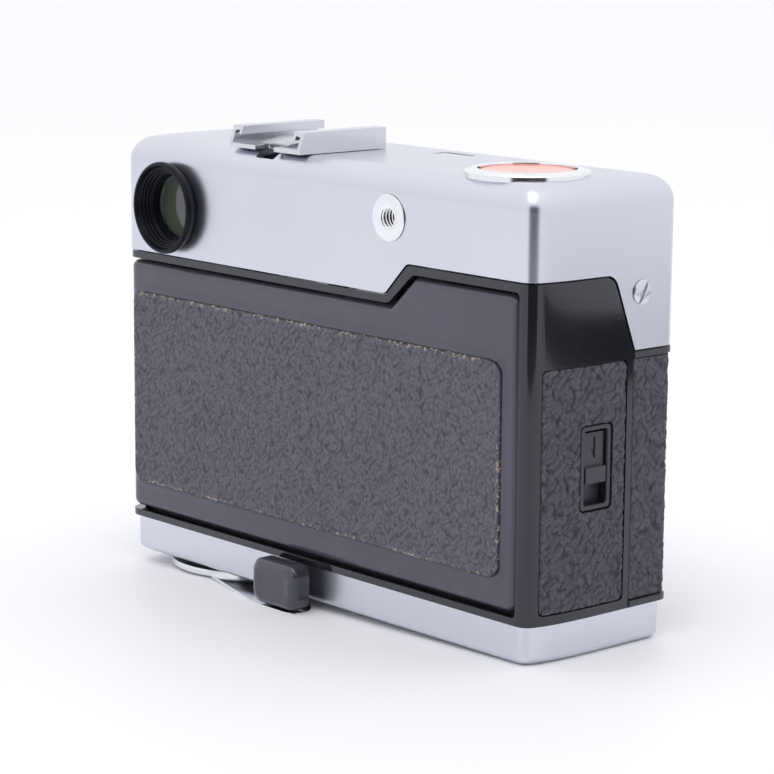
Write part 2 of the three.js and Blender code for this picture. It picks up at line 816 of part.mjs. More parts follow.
function rewindCrank() {
  const half = crankLength / 2;
  const side = crankWidth / 2;
  const arm = roundedRect(cassetteX - half, cassetteX + half, fittingsY - side, fittingsY + side, 1.8);
  return prismZ(arm, gap + 0.1, gap + 0.1 + crankThickness, 3);
}

piece("take_up_spool", takeUpSpool(), blackPlastic);
piece("film_sprocket", sprocket(), springSteel);
piece("advance_lever", advanceLever(), brightChrome);
piece("thumb_tab", thumbTab(), blackPlastic);
piece("rewind_knob", rewindKnob(), brightChrome);
piece("rewind_fork", rewindFork(), springSteel);
piece("rewind_crank", rewindCrank(), brightChrome);

// ---------- Base fittings ----------

function tripodBush() {
  return turnedZ(sleeve(tripodThreadRadius, tripodBushRadius, 0, basePlateHeight - 0.6), tripodX, fittingsY);
}

function batteryCover() {
  const slot = box(batteryX - 5, batteryX + 5, fittingsY - 0.7, fittingsY + 0.7, -1, 0.9);
  return turnedZ(plug(batteryCoverRadius, 0.2, 2.4), batteryX, fittingsY).subtract(slot);
}

function baseScrew([x, y]) {
  const head = turnedZ(plug(screwHeadRadius, 0.2, 1.4), x, y, 20);
  const shank = turnedZ(plug(0.9, 1, basePlateHeight - gap), x, y, 10);
  const slot = box(x - 3, x + 3, y - 0.35, y + 0.35, -1, 0.7);
  return head.add(shank).subtract(slot);
}

piece("tripod_bush", tripodBush(), brass);
piece("battery_cover", batteryCover(), satinChrome);
baseScrews.forEach((place, i) => piece("base_screw_" + (i + 1), baseScrew(place), brightChrome));

// ---------- Lens and shutter ----------

const mountY = -bodyDepth - gap;
const barrelBackY = mountY - flangeThickness + 0.9;
const barrelFrontY = barrelBackY - barrelLength;
const coreFrontY = barrelFrontY - coreLength;
const bladeY = barrelFrontY + shutterFloor - gap;

function lensFlange() {
  const back = -bodyDepth + casingInset - gap;
  return turnedY(sleeve(neckRadius + gap, flangeRadius, back - flangeThickness, back), 0, lensAxisZ);
}

function shutterHousing() {
  const neckBackY = barrelBackY + neckLength;
  const stepY = bladeY + gap + 3;
  return turnedY(
    [
      [rearGlassRadius + gap, neckBackY],
      [neckRadius, neckBackY],
      [neckRadius, barrelBackY],
      [barrelRadius, barrelBackY],
      [barrelRadius, barrelFrontY],
      [coreRadius, barrelFrontY],
      [coreRadius, coreFrontY],
      [coreBore, coreFrontY],
      [coreBore, bladeY + gap],
      [shutterOpening, bladeY + gap],
      [shutterOpening, stepY],
      [rearGlassRadius + gap, stepY],
      [rearGlassRadius + gap, neckBackY],
    ],
    0,
    lensAxisZ,
  );
}

function shutterBlade(side) {
  const edge = 0.4;
  const back = bladeY - (side > 0 ? bladeThickness + gap : 0);
  const half = bladeHeight / 2;
  const outline = polygon([
    [side * -edge, -half],
    [side * (bladeReach - 2), -half],
    [side * bladeReach, -half + 2],
    [side * bladeReach, half - 2],
    [side * (bladeReach - 2), half],
    [side * -edge, half],
    [side * (2.2 - edge), 0],
  ]);
  return prismY(outline, back - bladeThickness, back).translate([0, 0, lensAxisZ]);
}

function exposureRing() {
  const back = barrelFrontY - gap;
  const inner = coreRadius + gap;
  const outer = exposureRingRadius;
  const front = back - exposureRingLength;
  return turnedY(
    [[inner, back], [outer, back], [outer, front + 0.6], [outer - 0.6, front], [inner, front], [inner, back]],
    0,
    lensAxisZ,
    40,
  );
}

function focusRing() {
  const back = barrelFrontY - exposureRingLength - 2 * gap;
  const front = back - focusRingLength;
  const inner = coreRadius + gap;
  const outer = focusRingRadius;
  const ring = turnedY(
    [[inner, back], [outer, back], [outer, front + 0.8], [outer - 0.8, front], [inner, front], [inner, back]],
    0,
    lensAxisZ,
    40,
  );
  const lever = box(-2.6, 2.6, front + 1.4, back - 1, -outer - focusLeverReach, -outer + 1);
  return ring.add(lever.rotate([0, 40, 0]).translate([0, 0, lensAxisZ]));
}

const cellBackY = bladeY - 2 * bladeThickness - 2;

function lensCell() {
  const outer = coreBore - slideGap;
  const inner = frontGlassRadius + gap;
  const front = cellBackY - lensCellLength;
  return turnedY(
    [
      [inner, cellBackY],
      [outer, cellBackY],
      [outer, front],
      [outer - 1.2, front],
      [inner, front + 3.5],
      [inner, cellBackY],
    ],
    0,
    lensAxisZ,
  );
}

// The blank retaining ring in front of the lens cell.
function retainingRing() {
  const front = cellBackY - lensCellLength;
  const outer = coreBore - slideGap;
  return turnedY(sleeve(outer - 2.4, outer, front - gap - 0.8, front - gap), 0, lensAxisZ);
}

// A thick lens: both faces bulge by crown.
function lensElement(radius, y0, y1, crown) {
  const steps = [0, 0.35, 0.7, 1];
  const face = (y, sign) => (share) => [radius * share, y + sign * crown * (1 - share * share)];
  const profile = [...steps.map(face(y0, -1)), ...[...steps].reverse().map(face(y1, 1))];
  return turnedY(profile, 0, lensAxisZ);
}

piece("lens_flange", lensFlange(), satinChrome);
piece("shutter_housing", shutterHousing(), blackPlastic);
piece("shutter_blade_left", shutterBlade(-1), blackPlastic);
piece("shutter_blade_right", shutterBlade(1), blackPlastic);
piece("exposure_ring", exposureRing(), satinChrome);
piece("focus_ring", focusRing(), blackPlastic);
piece("lens_cell", lensCell(), blackPlastic);
piece("lens_retaining_ring", retainingRing(), blackPlastic);
piece("front_lens_glass", lensElement(frontGlassRadius, cellBackY - 4.6, cellBackY - 1.5, 0.9), glass);
piece("rear_lens_glass", lensElement(rearGlassRadius, barrelBackY + 4, barrelBackY + 7, 1), glass);

// ---------- Viewfinder and rangefinder ----------

function frontWindowPanel() {
  const shape = roundedRect(-panelHalfWidth, panelHalfWidth, panelBottomZ, panelTopZ, 1.5);
  const panel = prismY(shape, -bodyDepth - panelThickness - gap, -bodyDepth - gap, 4);
  return panel.subtract(windowOpenings(gap));
}

function windowPane(x, width, height) {
  return box(
    x - width / 2,
    x + width / 2,
    -bodyDepth - panelThickness,
    -bodyDepth - 0.1,
    eyepieceZ - height / 2,
    eyepieceZ + height / 2,
  );
}

function eyepieceRing() {
  const neck = eyepieceBore + 1;
  const neckEnd = -coverWall - 3;
  return turnedY(
    [
      [eyepieceBore, neckEnd],
      [neck, neckEnd],
      [neck, gap],
      [eyepieceRadius, gap],
      [eyepieceRadius, eyepieceProud - 0.6],
      [eyepieceRadius - 0.6, eyepieceProud],
      [eyepieceRadius - 1.4, eyepieceProud],
      [eyepieceRadius - 1.6, 1.6],
      [eyepieceBore + 0.4, 1.2],
      [eyepieceBore, 0.6],
      [eyepieceBore, neckEnd],
    ],
    eyepieceX,
    eyepieceZ,
    36,
  );
}

function eyepieceLens() {
  return turnedY(plug(eyepieceBore - gap, -3.6, -2.2), eyepieceX, eyepieceZ, 32);
}

const finderFrontY = -bodyDepth + coverWall + 2;
const finderBackY = -coverWall - 3.6;

// The glass block behind the eyepiece, with its slanted half-silvered face cut in two.
function viewfinderBlock() {
  const half = finderWindowWidth / 2 - 1;
  const height = finderWindowHeight / 2;
  return box(
    eyepieceX - half,
    eyepieceX + half,
    finderFrontY,
    finderBackY,
    eyepieceZ - height,
    eyepieceZ + height,
  );
}

// The rangefinder mirror on its swinging arm, which the lens cell moves.
function rangefinderArm() {
  const x = rangeWindowX;
  const y = finderFrontY + 5;
  const pivot = turnedZ(plug(1.6, chassisTopZ + gap, eyepieceZ - 4), x, y, 16);
  const arm = box(x - 1.2, x + 12, y - 1.2, y + 1.2, eyepieceZ - 5.4, eyepieceZ - 4.4);
  const mirror = box(-3.4, 3.4, -0.5, 0.5, eyepieceZ - 4.5, eyepieceZ + 3.5).rotate([0, 0, 45]);
  return joined(pivot, arm, mirror.translate([x, y, 0]));
}

piece("front_window_panel", frontWindowPanel(), glossBlack);
piece("viewfinder_window", windowPane(eyepieceX, finderWindowWidth, finderWindowHeight), glass);
piece("frameline_window", windowPane(frameWindowX, frameWindowWidth, frameWindowHeight), glass);
piece("rangefinder_window", windowPane(rangeWindowX, rangeWindowWidth, rangeWindowHeight), glass);
piece("eyepiece_ring", eyepieceRing(), blackPlastic);
piece("eyepiece_lens", eyepieceLens(), glass);
piece("viewfinder_block", viewfinderBlock(), glass);
piece("rangefinder_arm", rangefinderArm(), brass);

// ---------- Top controls ----------

function releaseRing() {
  const inner = buttonRadius + gap;
  const top = coverTopZ + releaseRingProud;
  const neck = inner + 1;
  const low = coverTopZ - coverWall - 1;
  return turnedZ(
    [
      [inner, low],
      [neck, low],
      [neck, coverTopZ + 0.1],
      [releaseRingRadius, coverTopZ + 0.1],
      [releaseRingRadius, top - 0.4],
      [releaseRingRadius - 0.4, top],
      [inner + 0.5, top],
      [inner, top - 0.5],
      [inner, low],
    ],
    releaseX,
    releaseY,
    36,
  );
}

const buttonTopZ = coverTopZ + releaseRingProud - buttonRecess;

function releaseButton() {
  return turnedZ(plug(buttonRadius, buttonTopZ - 3.4, buttonTopZ), releaseX, releaseY, 36);
}

function releasePlunger() {
  const low = chassisTopZ + gap + buttonTravel + 2;
  return turnedZ(plug(1.6, low, buttonTopZ - 3.4 - gap), releaseX, releaseY, 16);
}

function cableReleaseBush() {
  const hole = cableHoleRadius;
  return turnedY(
    [
      [hole, -coverWall - 2],
      [hole + 0.7, -coverWall - 2],
      [hole + 0.7, 0.1],
      [cableBushRadius, 0.1],
      [cableBushRadius, 0.5],
      [hole + 1, 0.5],
      [hole, 0.3],
      [hole, -coverWall - 2],
    ],
    cableBushX,
    cableBushZ,
    32,
  );
}

function counterWindow() {
  const halfLength = counterWindowLength / 2 - 0.1;
  const halfWidth = counterWindowWidth / 2 - 0.1;
  return box(
    counterWindowX - halfLength,
    counterWindowX + halfLength,
    counterWindowY - halfWidth,
    counterWindowY + halfWidth,
    coverTopZ - coverWall,
    coverTopZ + 0.1,
  );
}

const counterDiscRadius = 9;

function counterDisc() {
  const y = counterWindowY + counterDiscRadius - 2;
  const top = coverTopZ - coverWall - 2 * gap;
  return turnedZ([[0, top - 5], [1.5, top - 5], [1.5, top - 0.8], [counterDiscRadius, top - 0.8],
    [counterDiscRadius, top], [0, top]], counterWindowX, y, 36);
}

function sideScrew(side) {
  const face = side * (coverHalfWidth + 0.1);
  const head = turnedX(
    [[0, face], [screwHeadRadius, face], [screwHeadRadius, face + side * 0.5], [0, face + side * 0.5]],
    sideScrewY,
    sideScrewZ,
    20,
  );
  const inside = side * (coverHalfWidth - coverWall - 1);
  const shank = turnedX([[0, inside], [1, inside], [1, face], [0, face]], sideScrewY, sideScrewZ, 12);
  return head.add(shank);
}

piece("release_ring", releaseRing(), brightChrome);
piece("release_button", releaseButton(), orangePlastic);
piece("release_plunger", releasePlunger(), springSteel);
piece("cable_release_bush", cableReleaseBush(), brightChrome);
piece("counter_window", counterWindow(), glass);
piece("counter_disc", counterDisc(), blackPlastic);
piece("side_screw_right", sideScrew(-1), brightChrome);
piece("side_screw_left", sideScrew(1), brightChrome);

// ---------- Accessory shoe ----------

const shoeFrontY = shoeBackY - shoeLength;
const shoeBottomZ = coverTopZ + 0.1;
const shoeTopZ = coverTopZ + shoeHeight;

function accessoryShoe() {
  const half = shoeWidth / 2;
  const floorZ = shoeBottomZ + shoeFloor;
  const lipZ = shoeTopZ - shoeLipThickness;
  const section = polygon([
    [-half, shoeBottomZ],
    [half, shoeBottomZ],
    [half, shoeTopZ],
    [half - shoeLipWidth, shoeTopZ],
    [half - shoeLipWidth, lipZ],
    [half - shoeWall, lipZ],
    [half - shoeWall, floorZ],
    [-half + shoeWall, floorZ],
    [-half + shoeWall, lipZ],
    [-half + shoeLipWidth, lipZ],
    [-half + shoeLipWidth, shoeTopZ],
    [-half, shoeTopZ],
  ]);
  const rake = 1.4;
  const ends = polygon([
    [shoeBackY, shoeBottomZ],
    [shoeBackY - rake, shoeTopZ],
    [shoeFrontY, shoeTopZ],
    [shoeFrontY, shoeBottomZ],
  ]);
  const slot = box(-shoeTongueGap / 2, shoeTongueGap / 2, shoeBackY - 1.5, 1, coverTopZ, shoeTopZ);
  const shoe = prismY(section, shoeFrontY - 1, shoeBackY + 1).intersect(prismX(ends, -half, half));
  return shoe.subtract(slot).translate([shoeX, 0, 0]);
}

// The arched leaf that grips an accessory's foot.
function shoeSpring() {
  const halfWidth = 5.5;
  const back = shoeBackY - 2.5;
  const front = shoeFrontY + 1.5;
  const low = shoeBottomZ + shoeFloor + 0.1;
  const rise = 0.7;
  const thickness = 0.3;
  const middle = (back + front) / 2;
  const half = (back - front) / 2;
  const arch = (offset) => (share) => [middle + share * half, low + offset + rise * (1 - share * share)];
  const shares = [-1, -0.6, -0.2, 0.2, 0.6, 1];
  const outline = polygon([...shares.map(arch(0)), ...[...shares].reverse().map(arch(thickness))]);
  return prismX(outline, shoeX - halfWidth, shoeX + halfWidth);
}

piece("accessory_shoe", accessoryShoe(), brightChrome);
piece("shoe_spring", shoeSpring(), springSteel);

// Rest the camera on its lowest face, with the origin under the middle of its overall box.
const lensFrontY = coreFrontY;
const rearmostY = thumbTabBackY;
camera.position.set(0, -(lensFrontY + rearmostY) / 2, leverDrop);
export default camera;
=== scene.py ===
import json
import math

import bmesh
import bpy
import numpy as np
from mathutils import Matrix, Vector


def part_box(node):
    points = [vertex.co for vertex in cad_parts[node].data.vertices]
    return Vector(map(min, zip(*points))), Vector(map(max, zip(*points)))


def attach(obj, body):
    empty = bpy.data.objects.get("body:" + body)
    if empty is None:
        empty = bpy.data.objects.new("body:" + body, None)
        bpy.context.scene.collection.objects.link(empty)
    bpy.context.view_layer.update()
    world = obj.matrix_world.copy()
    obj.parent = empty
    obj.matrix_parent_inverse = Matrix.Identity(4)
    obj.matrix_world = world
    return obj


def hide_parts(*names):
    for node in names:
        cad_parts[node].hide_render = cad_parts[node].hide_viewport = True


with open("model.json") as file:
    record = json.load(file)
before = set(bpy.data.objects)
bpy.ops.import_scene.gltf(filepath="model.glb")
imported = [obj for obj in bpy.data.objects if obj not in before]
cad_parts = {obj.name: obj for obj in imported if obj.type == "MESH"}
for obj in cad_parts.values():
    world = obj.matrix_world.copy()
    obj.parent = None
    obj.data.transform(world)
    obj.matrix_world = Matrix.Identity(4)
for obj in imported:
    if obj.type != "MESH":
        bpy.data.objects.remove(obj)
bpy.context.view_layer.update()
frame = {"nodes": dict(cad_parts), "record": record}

mm = 0.001
nodes = frame["nodes"]
slotOf = {part["node"]: part["material_slot"] for part in frame["record"]["subparts"]}


def lowHigh(node):
    low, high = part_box(node)
    return np.array(low) / mm, np.array(high) / mm


coverLow, coverHigh = lowHigh("top_cover")
baseLow = lowHigh("base_plate")[0]
# every piece is built in millimetres behind the cover's flat back and above the underside of the base
origin = np.array([0, coverHigh[1], baseLow[2]])
coverTop = coverHigh[2] - baseLow[2]
bodyDepth = coverHigh[1] - coverLow[1]
halfWidth = 57.5
lensAxisZ = 33.4
flangeHole = 18.8

view = dict(
    azimuth=-131.632, elevation=10.67, roll=0.417, distance=507.8, lens=127.59,
    target=(-0.824, 7.976, 40.379)
)


def makeCamera():
    azimuth = math.radians(view["azimuth"])
    elevation = math.radians(view["elevation"])
    away = Vector(
        (
            math.sin(azimuth) * math.cos(elevation), -math.cos(azimuth) * math.cos(elevation),
            math.sin(elevation)
        )
    )
    data = bpy.data.cameras.new("studioCamera")
    data.lens = view["lens"]
    data.sensor_width = 36
    data.clip_end = 20
    camera = bpy.data.objects.new("studioCamera", data)
    turn = away.to_track_quat("Z", "Y").to_matrix().to_4x4()
    roll = Matrix.Rotation(math.radians(view["roll"]), 4, "Z")
    place = Matrix.Translation((Vector(view["target"]) + away * view["distance"]) * mm)
    camera.matrix_world = place @ turn @ roll
    bpy.context.scene.collection.objects.link(camera)
    bpy.context.scene.camera = camera


makeCamera()
print("camera set")


class Sock:
    # one output socket; arithmetic on it adds Math nodes
    def __init__(self, tree, socket):
        self.tree = tree
        self.socket = socket

    def math(self, operation, *values):
        return self.tree.node("ShaderNodeMath", dict(operation=operation), *values)

    def __add__(self, other):
        return self.math("ADD", self, other)

    def __sub__(self, other):
        return self.math("SUBTRACT", self, other)

    def __rsub__(self, other):
        return self.math("SUBTRACT", other, self)

    def __mul__(self, other):
        return self.math("MULTIPLY", self, other)

    __radd__ = __add__
    __rmul__ = __mul__

    def between(self, low, high):
        limits = {"From Min": low, "From Max": high}
        return self.tree.node(
            "ShaderNodeMapRange", dict(interpolation_type="SMOOTHSTEP"), Value=self, **limits
        )


class Material:
    def __init__(self, name, **fixed):
        self.material = bpy.data.materials.new(name)
        self.material.use_nodes = True
        self.nodes = self.material.node_tree.nodes
        self.links = self.material.node_tree.links
        self.nodes.clear()
        self.shader = self.nodes.new("ShaderNodeBsdfPrincipled")
        self.output = self.nodes.new("ShaderNodeOutputMaterial")
        self.links.new(self.shader.outputs[0], self.output.inputs[0])
        for key, value in fixed.items():
            self.shader.inputs[key].default_value = value
        coordinates = self.nodes.new("ShaderNodeTexCoord")
        self.place = Sock(self, coordinates.outputs["Object"])

    def node(self, kind, settings=None, *values, output=0, **named):
        made = self.nodes.new(kind)
        for key, value in (settings or {}).items():
            setattr(made, key, value)
        for index, value in enumerate(values):
            self.feed(made.inputs[index], value)
        for key, value in named.items():
            self.feed(made.inputs[key], value)
        return Sock(self, made.outputs[output])

    def feed(self, socket, value):
        if isinstance(value, Sock):
            self.links.new(value.socket, socket)
        else:
            socket.default_value = value

    def scaled(self, x, y, z):
        return self.node("ShaderNodeMapping", None, self.place, Scale=(x, y, z))

    def noise(self, scale, detail=3.0, roughness=0.5, distortion=0.0, where=None):
        return self.node(
            "ShaderNodeTexNoise",
            None,
            Vector=where or self.place,
            Scale=scale,
            Detail=detail,
            Roughness=roughness,
            Distortion=distortion,
        )

    def mix(self, factor, low, high):
        made = self.nodes.new("ShaderNodeMix")
        made.data_type = "RGBA"
        self.feed(made.inputs[0], factor)
        for socket, color in ((made.inputs[6], low), (made.inputs[7], high)):
            self.feed(socket, color if isinstance(color, Sock) else (*color, 1))
        return Sock(self, made.outputs[2])

    def bump(self, height, strength, distance):
        made = self.node("ShaderNodeBump", None, Strength=strength, Distance=distance, Height=height)
        self.feed(self.shader.inputs["Normal"], made)

    def set(self, **sockets):
        for key, value in sockets.items():
            name = key.replace("_", " ")
            self.feed(
                self.shader.inputs[name],
                value if isinstance(value, Sock) or np.isscalar(value) else (*value, 1)
            )


def newObject(name, points, faces, body=None, material=None, replaces=(), slot=None):
    mesh = bpy.data.meshes.new(name)
    mesh.from_pydata(((np.asarray(points, float) + origin) * mm).tolist(), [], faces)
    obj = bpy.data.objects.new(name, mesh)
    bpy.context.scene.collection.objects.link(obj)
    tidyMesh(mesh)
    if body:
        finishPiece(obj, body, material, replaces)
    return obj


def tidyMesh(mesh, merge=True):
    work = bmesh.new()
    work.from_mesh(mesh)
    if merge:
        bmesh.ops.remove_doubles(work, verts=work.verts, dist=1e-7)
        bmesh.ops.dissolve_degenerate(work, edges=work.edges, dist=1e-8)
    bmesh.ops.recalc_face_normals(work, faces=work.faces)
    work.to_mesh(mesh)
    work.free()


def finishPiece(obj, body, material, replaces=(), sharp=32):
    obj.data.polygons.foreach_set("use_smooth", [True] * len(obj.data.polygons))
    obj.data.set_sharp_from_angle(angle=math.radians(sharp))
    # large flat faces keep their own direction, and the shading turns only over the rounded edges
    modifier = obj.modifiers.new("evenShading", "WEIGHTED_NORMAL")
    modifier.keep_sharp = True
    applyAll(obj)
    obj.data.materials.clear()
    obj.data.materials.append(material)
    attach(obj, body)
    if replaces:
        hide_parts(*([replaces] if isinstance(replaces, str) else replaces))


def standIn(node, body, material):
    # what a piece needs to take a CAD node's place: it rides that node's body, wears a material and hides the
    # node
    return dict(body=body, material=material, replaces=node, slot=slotOf[node])


def gridFaces(rows, columns, closeColumns=False, closeRows=False):
    # quads between neighbouring rows and columns of a point grid
    r = np.arange(rows if closeRows else rows - 1)
    c = np.arange(columns if closeColumns else columns - 1)
    a, b = np.meshgrid(r, c, indexing="ij")
    nextA, nextB = (a + 1) % rows, (b + 1) % columns
    quads = np.stack(
        [a * columns + b, a * columns + nextB, nextA * columns + nextB, nextA * columns + b], -1
    )
    return quads.reshape(-1, 4).tolist()


def turned(name, profile, centre, axis="Z", steps=96, closed=True, **piece):
    # the profile of (radius, height) turned about an axis: (r cos a, r sin a, h)
    profile = np.asarray(profile, float)
    angle = np.linspace(0, 2 * math.pi, steps, endpoint=False)
    r, h = profile[:, 0, None], profile[:, 1, None] + 0 * angle
    u, v = r * np.cos(angle), r * np.sin(angle)
    order = {"Z": (u, v, h), "Y": (u, h, v), "X": (h, u, v)}[axis]
    points = np.stack(order, -1).reshape(-1, 3) + centre
    return newObject(name, points, gridFaces(len(profile), steps, True, closed), **piece)


def arc(cx, cy, radius, start, end, steps=8):
    # points on a circle from one angle to another, in degrees
    a = np.radians(np.linspace(start, end, steps))
    return [(cx + radius * math.cos(t), cy + radius * math.sin(t)) for t in a]


def roundedRect(u0, u1, v0, v1, radius, steps=8):
    points = arc(u1 - radius, v0 + radius, radius, -90, 0, steps)
    points += arc(u1 - radius, v1 - radius, radius, 0, 90, steps)
    points += arc(u0 + radius, v1 - radius, radius, 90, 180, steps)
    return points + arc(u0 + radius, v0 + radius, radius, 180, 270, steps)


def rounded(corners, radius, steps=6):
    # a polygon whose corners are replaced by quadratic curves
    corners = np.asarray(corners, float)
    out = []
    for index, corner in enumerate(corners):
        before, after = corners[index - 1] - corner, corners[(index + 1) % len(corners)] - corner
        reach = [min(radius, np.linalg.norm(d) * 0.45) / np.linalg.norm(d) for d in (before, after)]
        start, end = corner + before * reach[0], corner + after * reach[1]
        for t in np.linspace(0, 1, steps):
            out.append(tuple((1 - t) ** 2 * start + 2 * t * (1 - t) * corner + t * t * end))
    return out


def prism(name, outline, low, high, axis="Z", **piece):
    # an outline carried along an axis, with flat ends
    outline = np.asarray(outline, float)
    count = len(outline)
    columns = []
    for level in (low, high):
        u, v, w = outline[:, 0], outline[:, 1], np.full(count, float(level))
        columns.append(np.stack({"Z": (u, v, w), "Y": (u, w, v), "X": (w, u, v)}[axis], -1))
    faces = gridFaces(2, count, True)
    faces += [list(range(count))[::-1], list(range(count, 2 * count))]
    return newObject(name, np.concatenate(columns), faces, **piece)


def stacked(name, outlineAt, levels, axis="Z", **piece):
    # outlines at (height, inset) stacked into one closed solid
    order = {"Z": (0, 1, 2), "Y": (0, 2, 1), "X": (2, 0, 1)}[axis]
    rings = []
    for height, inset in levels:
        ring = np.asarray(outlineAt(inset))
        rings.append(np.column_stack([ring, np.full(len(ring), height)])[:, order])
    count = len(rings[0])
    faces = gridFaces(len(rings), count, True)
    last = (len(rings) - 1) * count
    faces += [list(range(count))[::-1], list(range(last, last + count))]
    return newObject(name, np.concatenate(rings), faces, **piece)


def carve(obj, cutters, operation="DIFFERENCE"):
    for cutter in cutters if isinstance(cutters, (list, tuple)) else [cutters]:
        modifier = obj.modifiers.new("cut", "BOOLEAN")
        modifier.operation = operation
        modifier.solver = "EXACT"
        modifier.object = cutter
        applyAll(obj)
        bpy.data.objects.remove(cutter)
    return obj


def applyAll(obj):
    bpy.context.view_layer.update()
    graph = bpy.context.evaluated_depsgraph_get()
    mesh = bpy.data.meshes.new_from_object(obj.evaluated_get(graph))
    obj.modifiers.clear()
    obj.data = mesh


def softEdges(obj, width, angle=40, segments=2):
    tidyMesh(obj.data)
    modifier = obj.modifiers.new("soften", "BEVEL")
    modifier.width = width * mm
    modifier.segments = segments
    modifier.limit_method = "ANGLE"
    modifier.angle_limit = math.radians(angle)
    modifier.use_clamp_overlap = True
    applyAll(obj)
    return obj


def curve(start, control, end, steps):
    t = np.linspace(0, 1, steps)[:, None]
    start, control, end = np.array(start), np.array(control), np.array(end)
    return (1 - t) ** 2 * start + 2 * t * (1 - t) * control + t * t * end


outline = dict(half=halfWidth, back=0, front=-bodyDepth, taper=1.8, rearRadius=2.5, frontRadius=3)


def bodyOutline(inset, steps=14):
    # from above: flat back, ends that swell towards the front, quadratic corners
    half = outline["half"] - inset
    back, front = outline["back"] - inset, outline["front"] + inset
    middle = (back + front) / 2
    rearHalf = half - outline["taper"]
    rear = max(outline["rearRadius"] - inset / 2, 0.6)
    nose = max(outline["frontRadius"] - inset / 2, 1.0)
    corner = (rearHalf + rear / 4, back - rear)
    side = [
        curve((rearHalf - rear, back), (rearHalf, back), corner, steps),
        curve(corner, (half, back - 0.35 * (back - middle)), (half, middle), steps)[1:],
        curve((half, front + nose), (half, front), (half - nose, front), steps),
    ]
    right = np.concatenate(side)
    left = right[::-1] * (-1, 1)
    return np.concatenate([left, right])[::-1]


def skinPath():
    # half of the body outline by arc length, from the middle of the back round one end to the middle of the front
    ring = bodyOutline(0, 60)
    path = ring[len(ring) // 2 :] if ring[-1, 0] > 0 else ring[: len(ring) // 2]
    path = path if path[0, 1] > path[-1, 1] else path[::-1]
    path = np.vstack([(0, 0), path, (0, -bodyDepth)])
    step = np.diff(path, axis=0)
    keep = np.append(True, np.hypot(*step.T) > 1e-6)
    path = path[keep]
    step = np.diff(path, axis=0)
    length = np.append(0, np.cumsum(np.hypot(*step.T)))
    slope = np.gradient(path, length, axis=0)
    return path, length, slope / np.hypot(*slope.T)[:, None]


skinLine, skinLength, skinSlope = skinPath()


def onSkin(distance, lift):
    # a point at an arc length from the middle of the back (positive towards the eyepiece), lifted outwards
    far = np.abs(distance)
    x, y, dx, dy = (np.interp(far, skinLength, v) for v in (*skinLine.T, *skinSlope.T))
    return np.sign(distance) * (x - dy * lift), y + dx * lift


def skinAtY(y):
    # arc length of the side's point at a depth
    side = skinLine[:, 0] > halfWidth - 4.5
    return np.interp(-y, -skinLine[side, 1], skinLength[side])


def satinChrome(name, low, high, rough):
    m = Material(name, Metallic=1.0)
    cloud = m.noise(38, 3)
    blast = m.noise(5200, 2, 0.6)
    smudge = m.noise(85, 5, 0.65, 0.6).between(0.52, 0.75)
    m.set(Base_Color=m.mix(cloud, low, high), Roughness=rough + 0.04 * cloud + 0.05 * smudge)
    m.bump(blast, 0.10, 0.00006)
    return m.material


def brightChrome():
    m = Material("brightChrome", Metallic=1.0)
    grain = m.noise(900, 3, 0.6, where=m.scaled(1, 14, 1))
    wear = m.noise(160, 4, 0.7).between(0.5, 0.8)
    m.set(
        Base_Color=m.mix(wear, (0.84, 0.85, 0.87), (0.74, 0.74, 0.75)),
        Roughness=0.12 + 0.10 * wear + 0.05 * grain
    )
    m.bump(grain, 0.05, 0.00003)
    return m.material


def spunMetal(name, low, high, rough):
    m = Material(name, Metallic=1.0)
    lines = m.noise(2600, 2, 0.5, where=m.scaled(1, 1, 0.05))
    wear = m.noise(210, 4, 0.7).between(0.45, 0.75)
    m.set(Base_Color=m.mix(wear, low, high), Roughness=rough + 0.12 * wear)
    m.bump(lines, 0.05, 0.00003)
    return m.material


def moulded(name, color, rough, spread, coat=0.0, specular=0.5):
    # moulded plastic: fine orange peel, faint rubbed patches and dust
    m = Material(
        name,
        **{"Coat Roughness": 0.06, "Specular IOR Level": specular, "Specular Tint": (0.82, 0.86, 1.0, 1.0)}
    )
    rubbed = m.noise(70, 5, 0.6).between(0.3, 0.85)
    peel = m.noise(1300, 2, 0.5)
    dust = m.noise(2400, 1, 0.5).between(0.74, 0.8)
    light = tuple(c * 1.3 + 0.002 for c in color)
    m.set(
        Base_Color=m.mix(rubbed * 0.6 + dust * 0.5, color, light),
        Roughness=rough + spread * rubbed + 0.15 * dust
    )
    m.set(Coat_Weight=coat)
    m.bump(peel + 0.4 * rubbed, 0.10, 0.00004)
    return m.material


def leatherette(name, low, high, seamShadeAndSpecks):
    # pressed grain under fine creases; the grain's valleys carry painted shade and the seam round the edge a
    # painted shade line
    m = Material(name, **{"Specular IOR Level": 0.35})
    fine = m.noise(3200, 4, 0.6)
    crease = m.noise(1700, 3, 0.55, 0.1).between(0.3, 0.7)
    edge = m.node("ShaderNodeAttribute", dict(attribute_name="edge"), output=2)
    height = m.node("ShaderNodeAttribute", dict(attribute_name="height"), output=2)
    patches = m.noise(75, 2).between(0.36, 0.55)
    speck = m.noise(1300, 4, 0.7).between(0.53, 0.59) * (1 - edge.between(0.1, 0.5)) * patches
    # painted shade: the seam round the edge is darkened to near black, as the groove's shadow
    seamShade = (1 - edge.between(0.0, 0.16)) * seamShadeAndSpecks
    # painted shade: the grain's valleys take the darker colour and its crowns the lighter one
    base = m.mix(height.between(0.0, 0.8), low, high)
    base = m.mix(seamShade * 0.75, base, (0.012, 0.012, 0.014))
    m.set(
        Base_Color=m.mix(speck * seamShadeAndSpecks, base, (0.42, 0.36, 0.27)),
        Roughness=0.60 - 0.18 * height + 0.1 * crease
    )
    m.bump(0.5 * crease + 0.5 * fine, 0.5, 0.00016)
    return m.material


def coatedGlass(name, tint, alpha):
    m = Material(name, **{"IOR": 1.52, "Roughness": 0.03})
    smear = m.noise(140, 4, 0.6).between(0.45, 0.7)
    m.set(Base_Color=m.mix(smear, tint, tuple(c * 0.8 for c in tint)), Roughness=0.03 + 0.05 * smear)
    m.set(Alpha=alpha + 0.08 * smear, Coat_Weight=1.0)
    return m.material


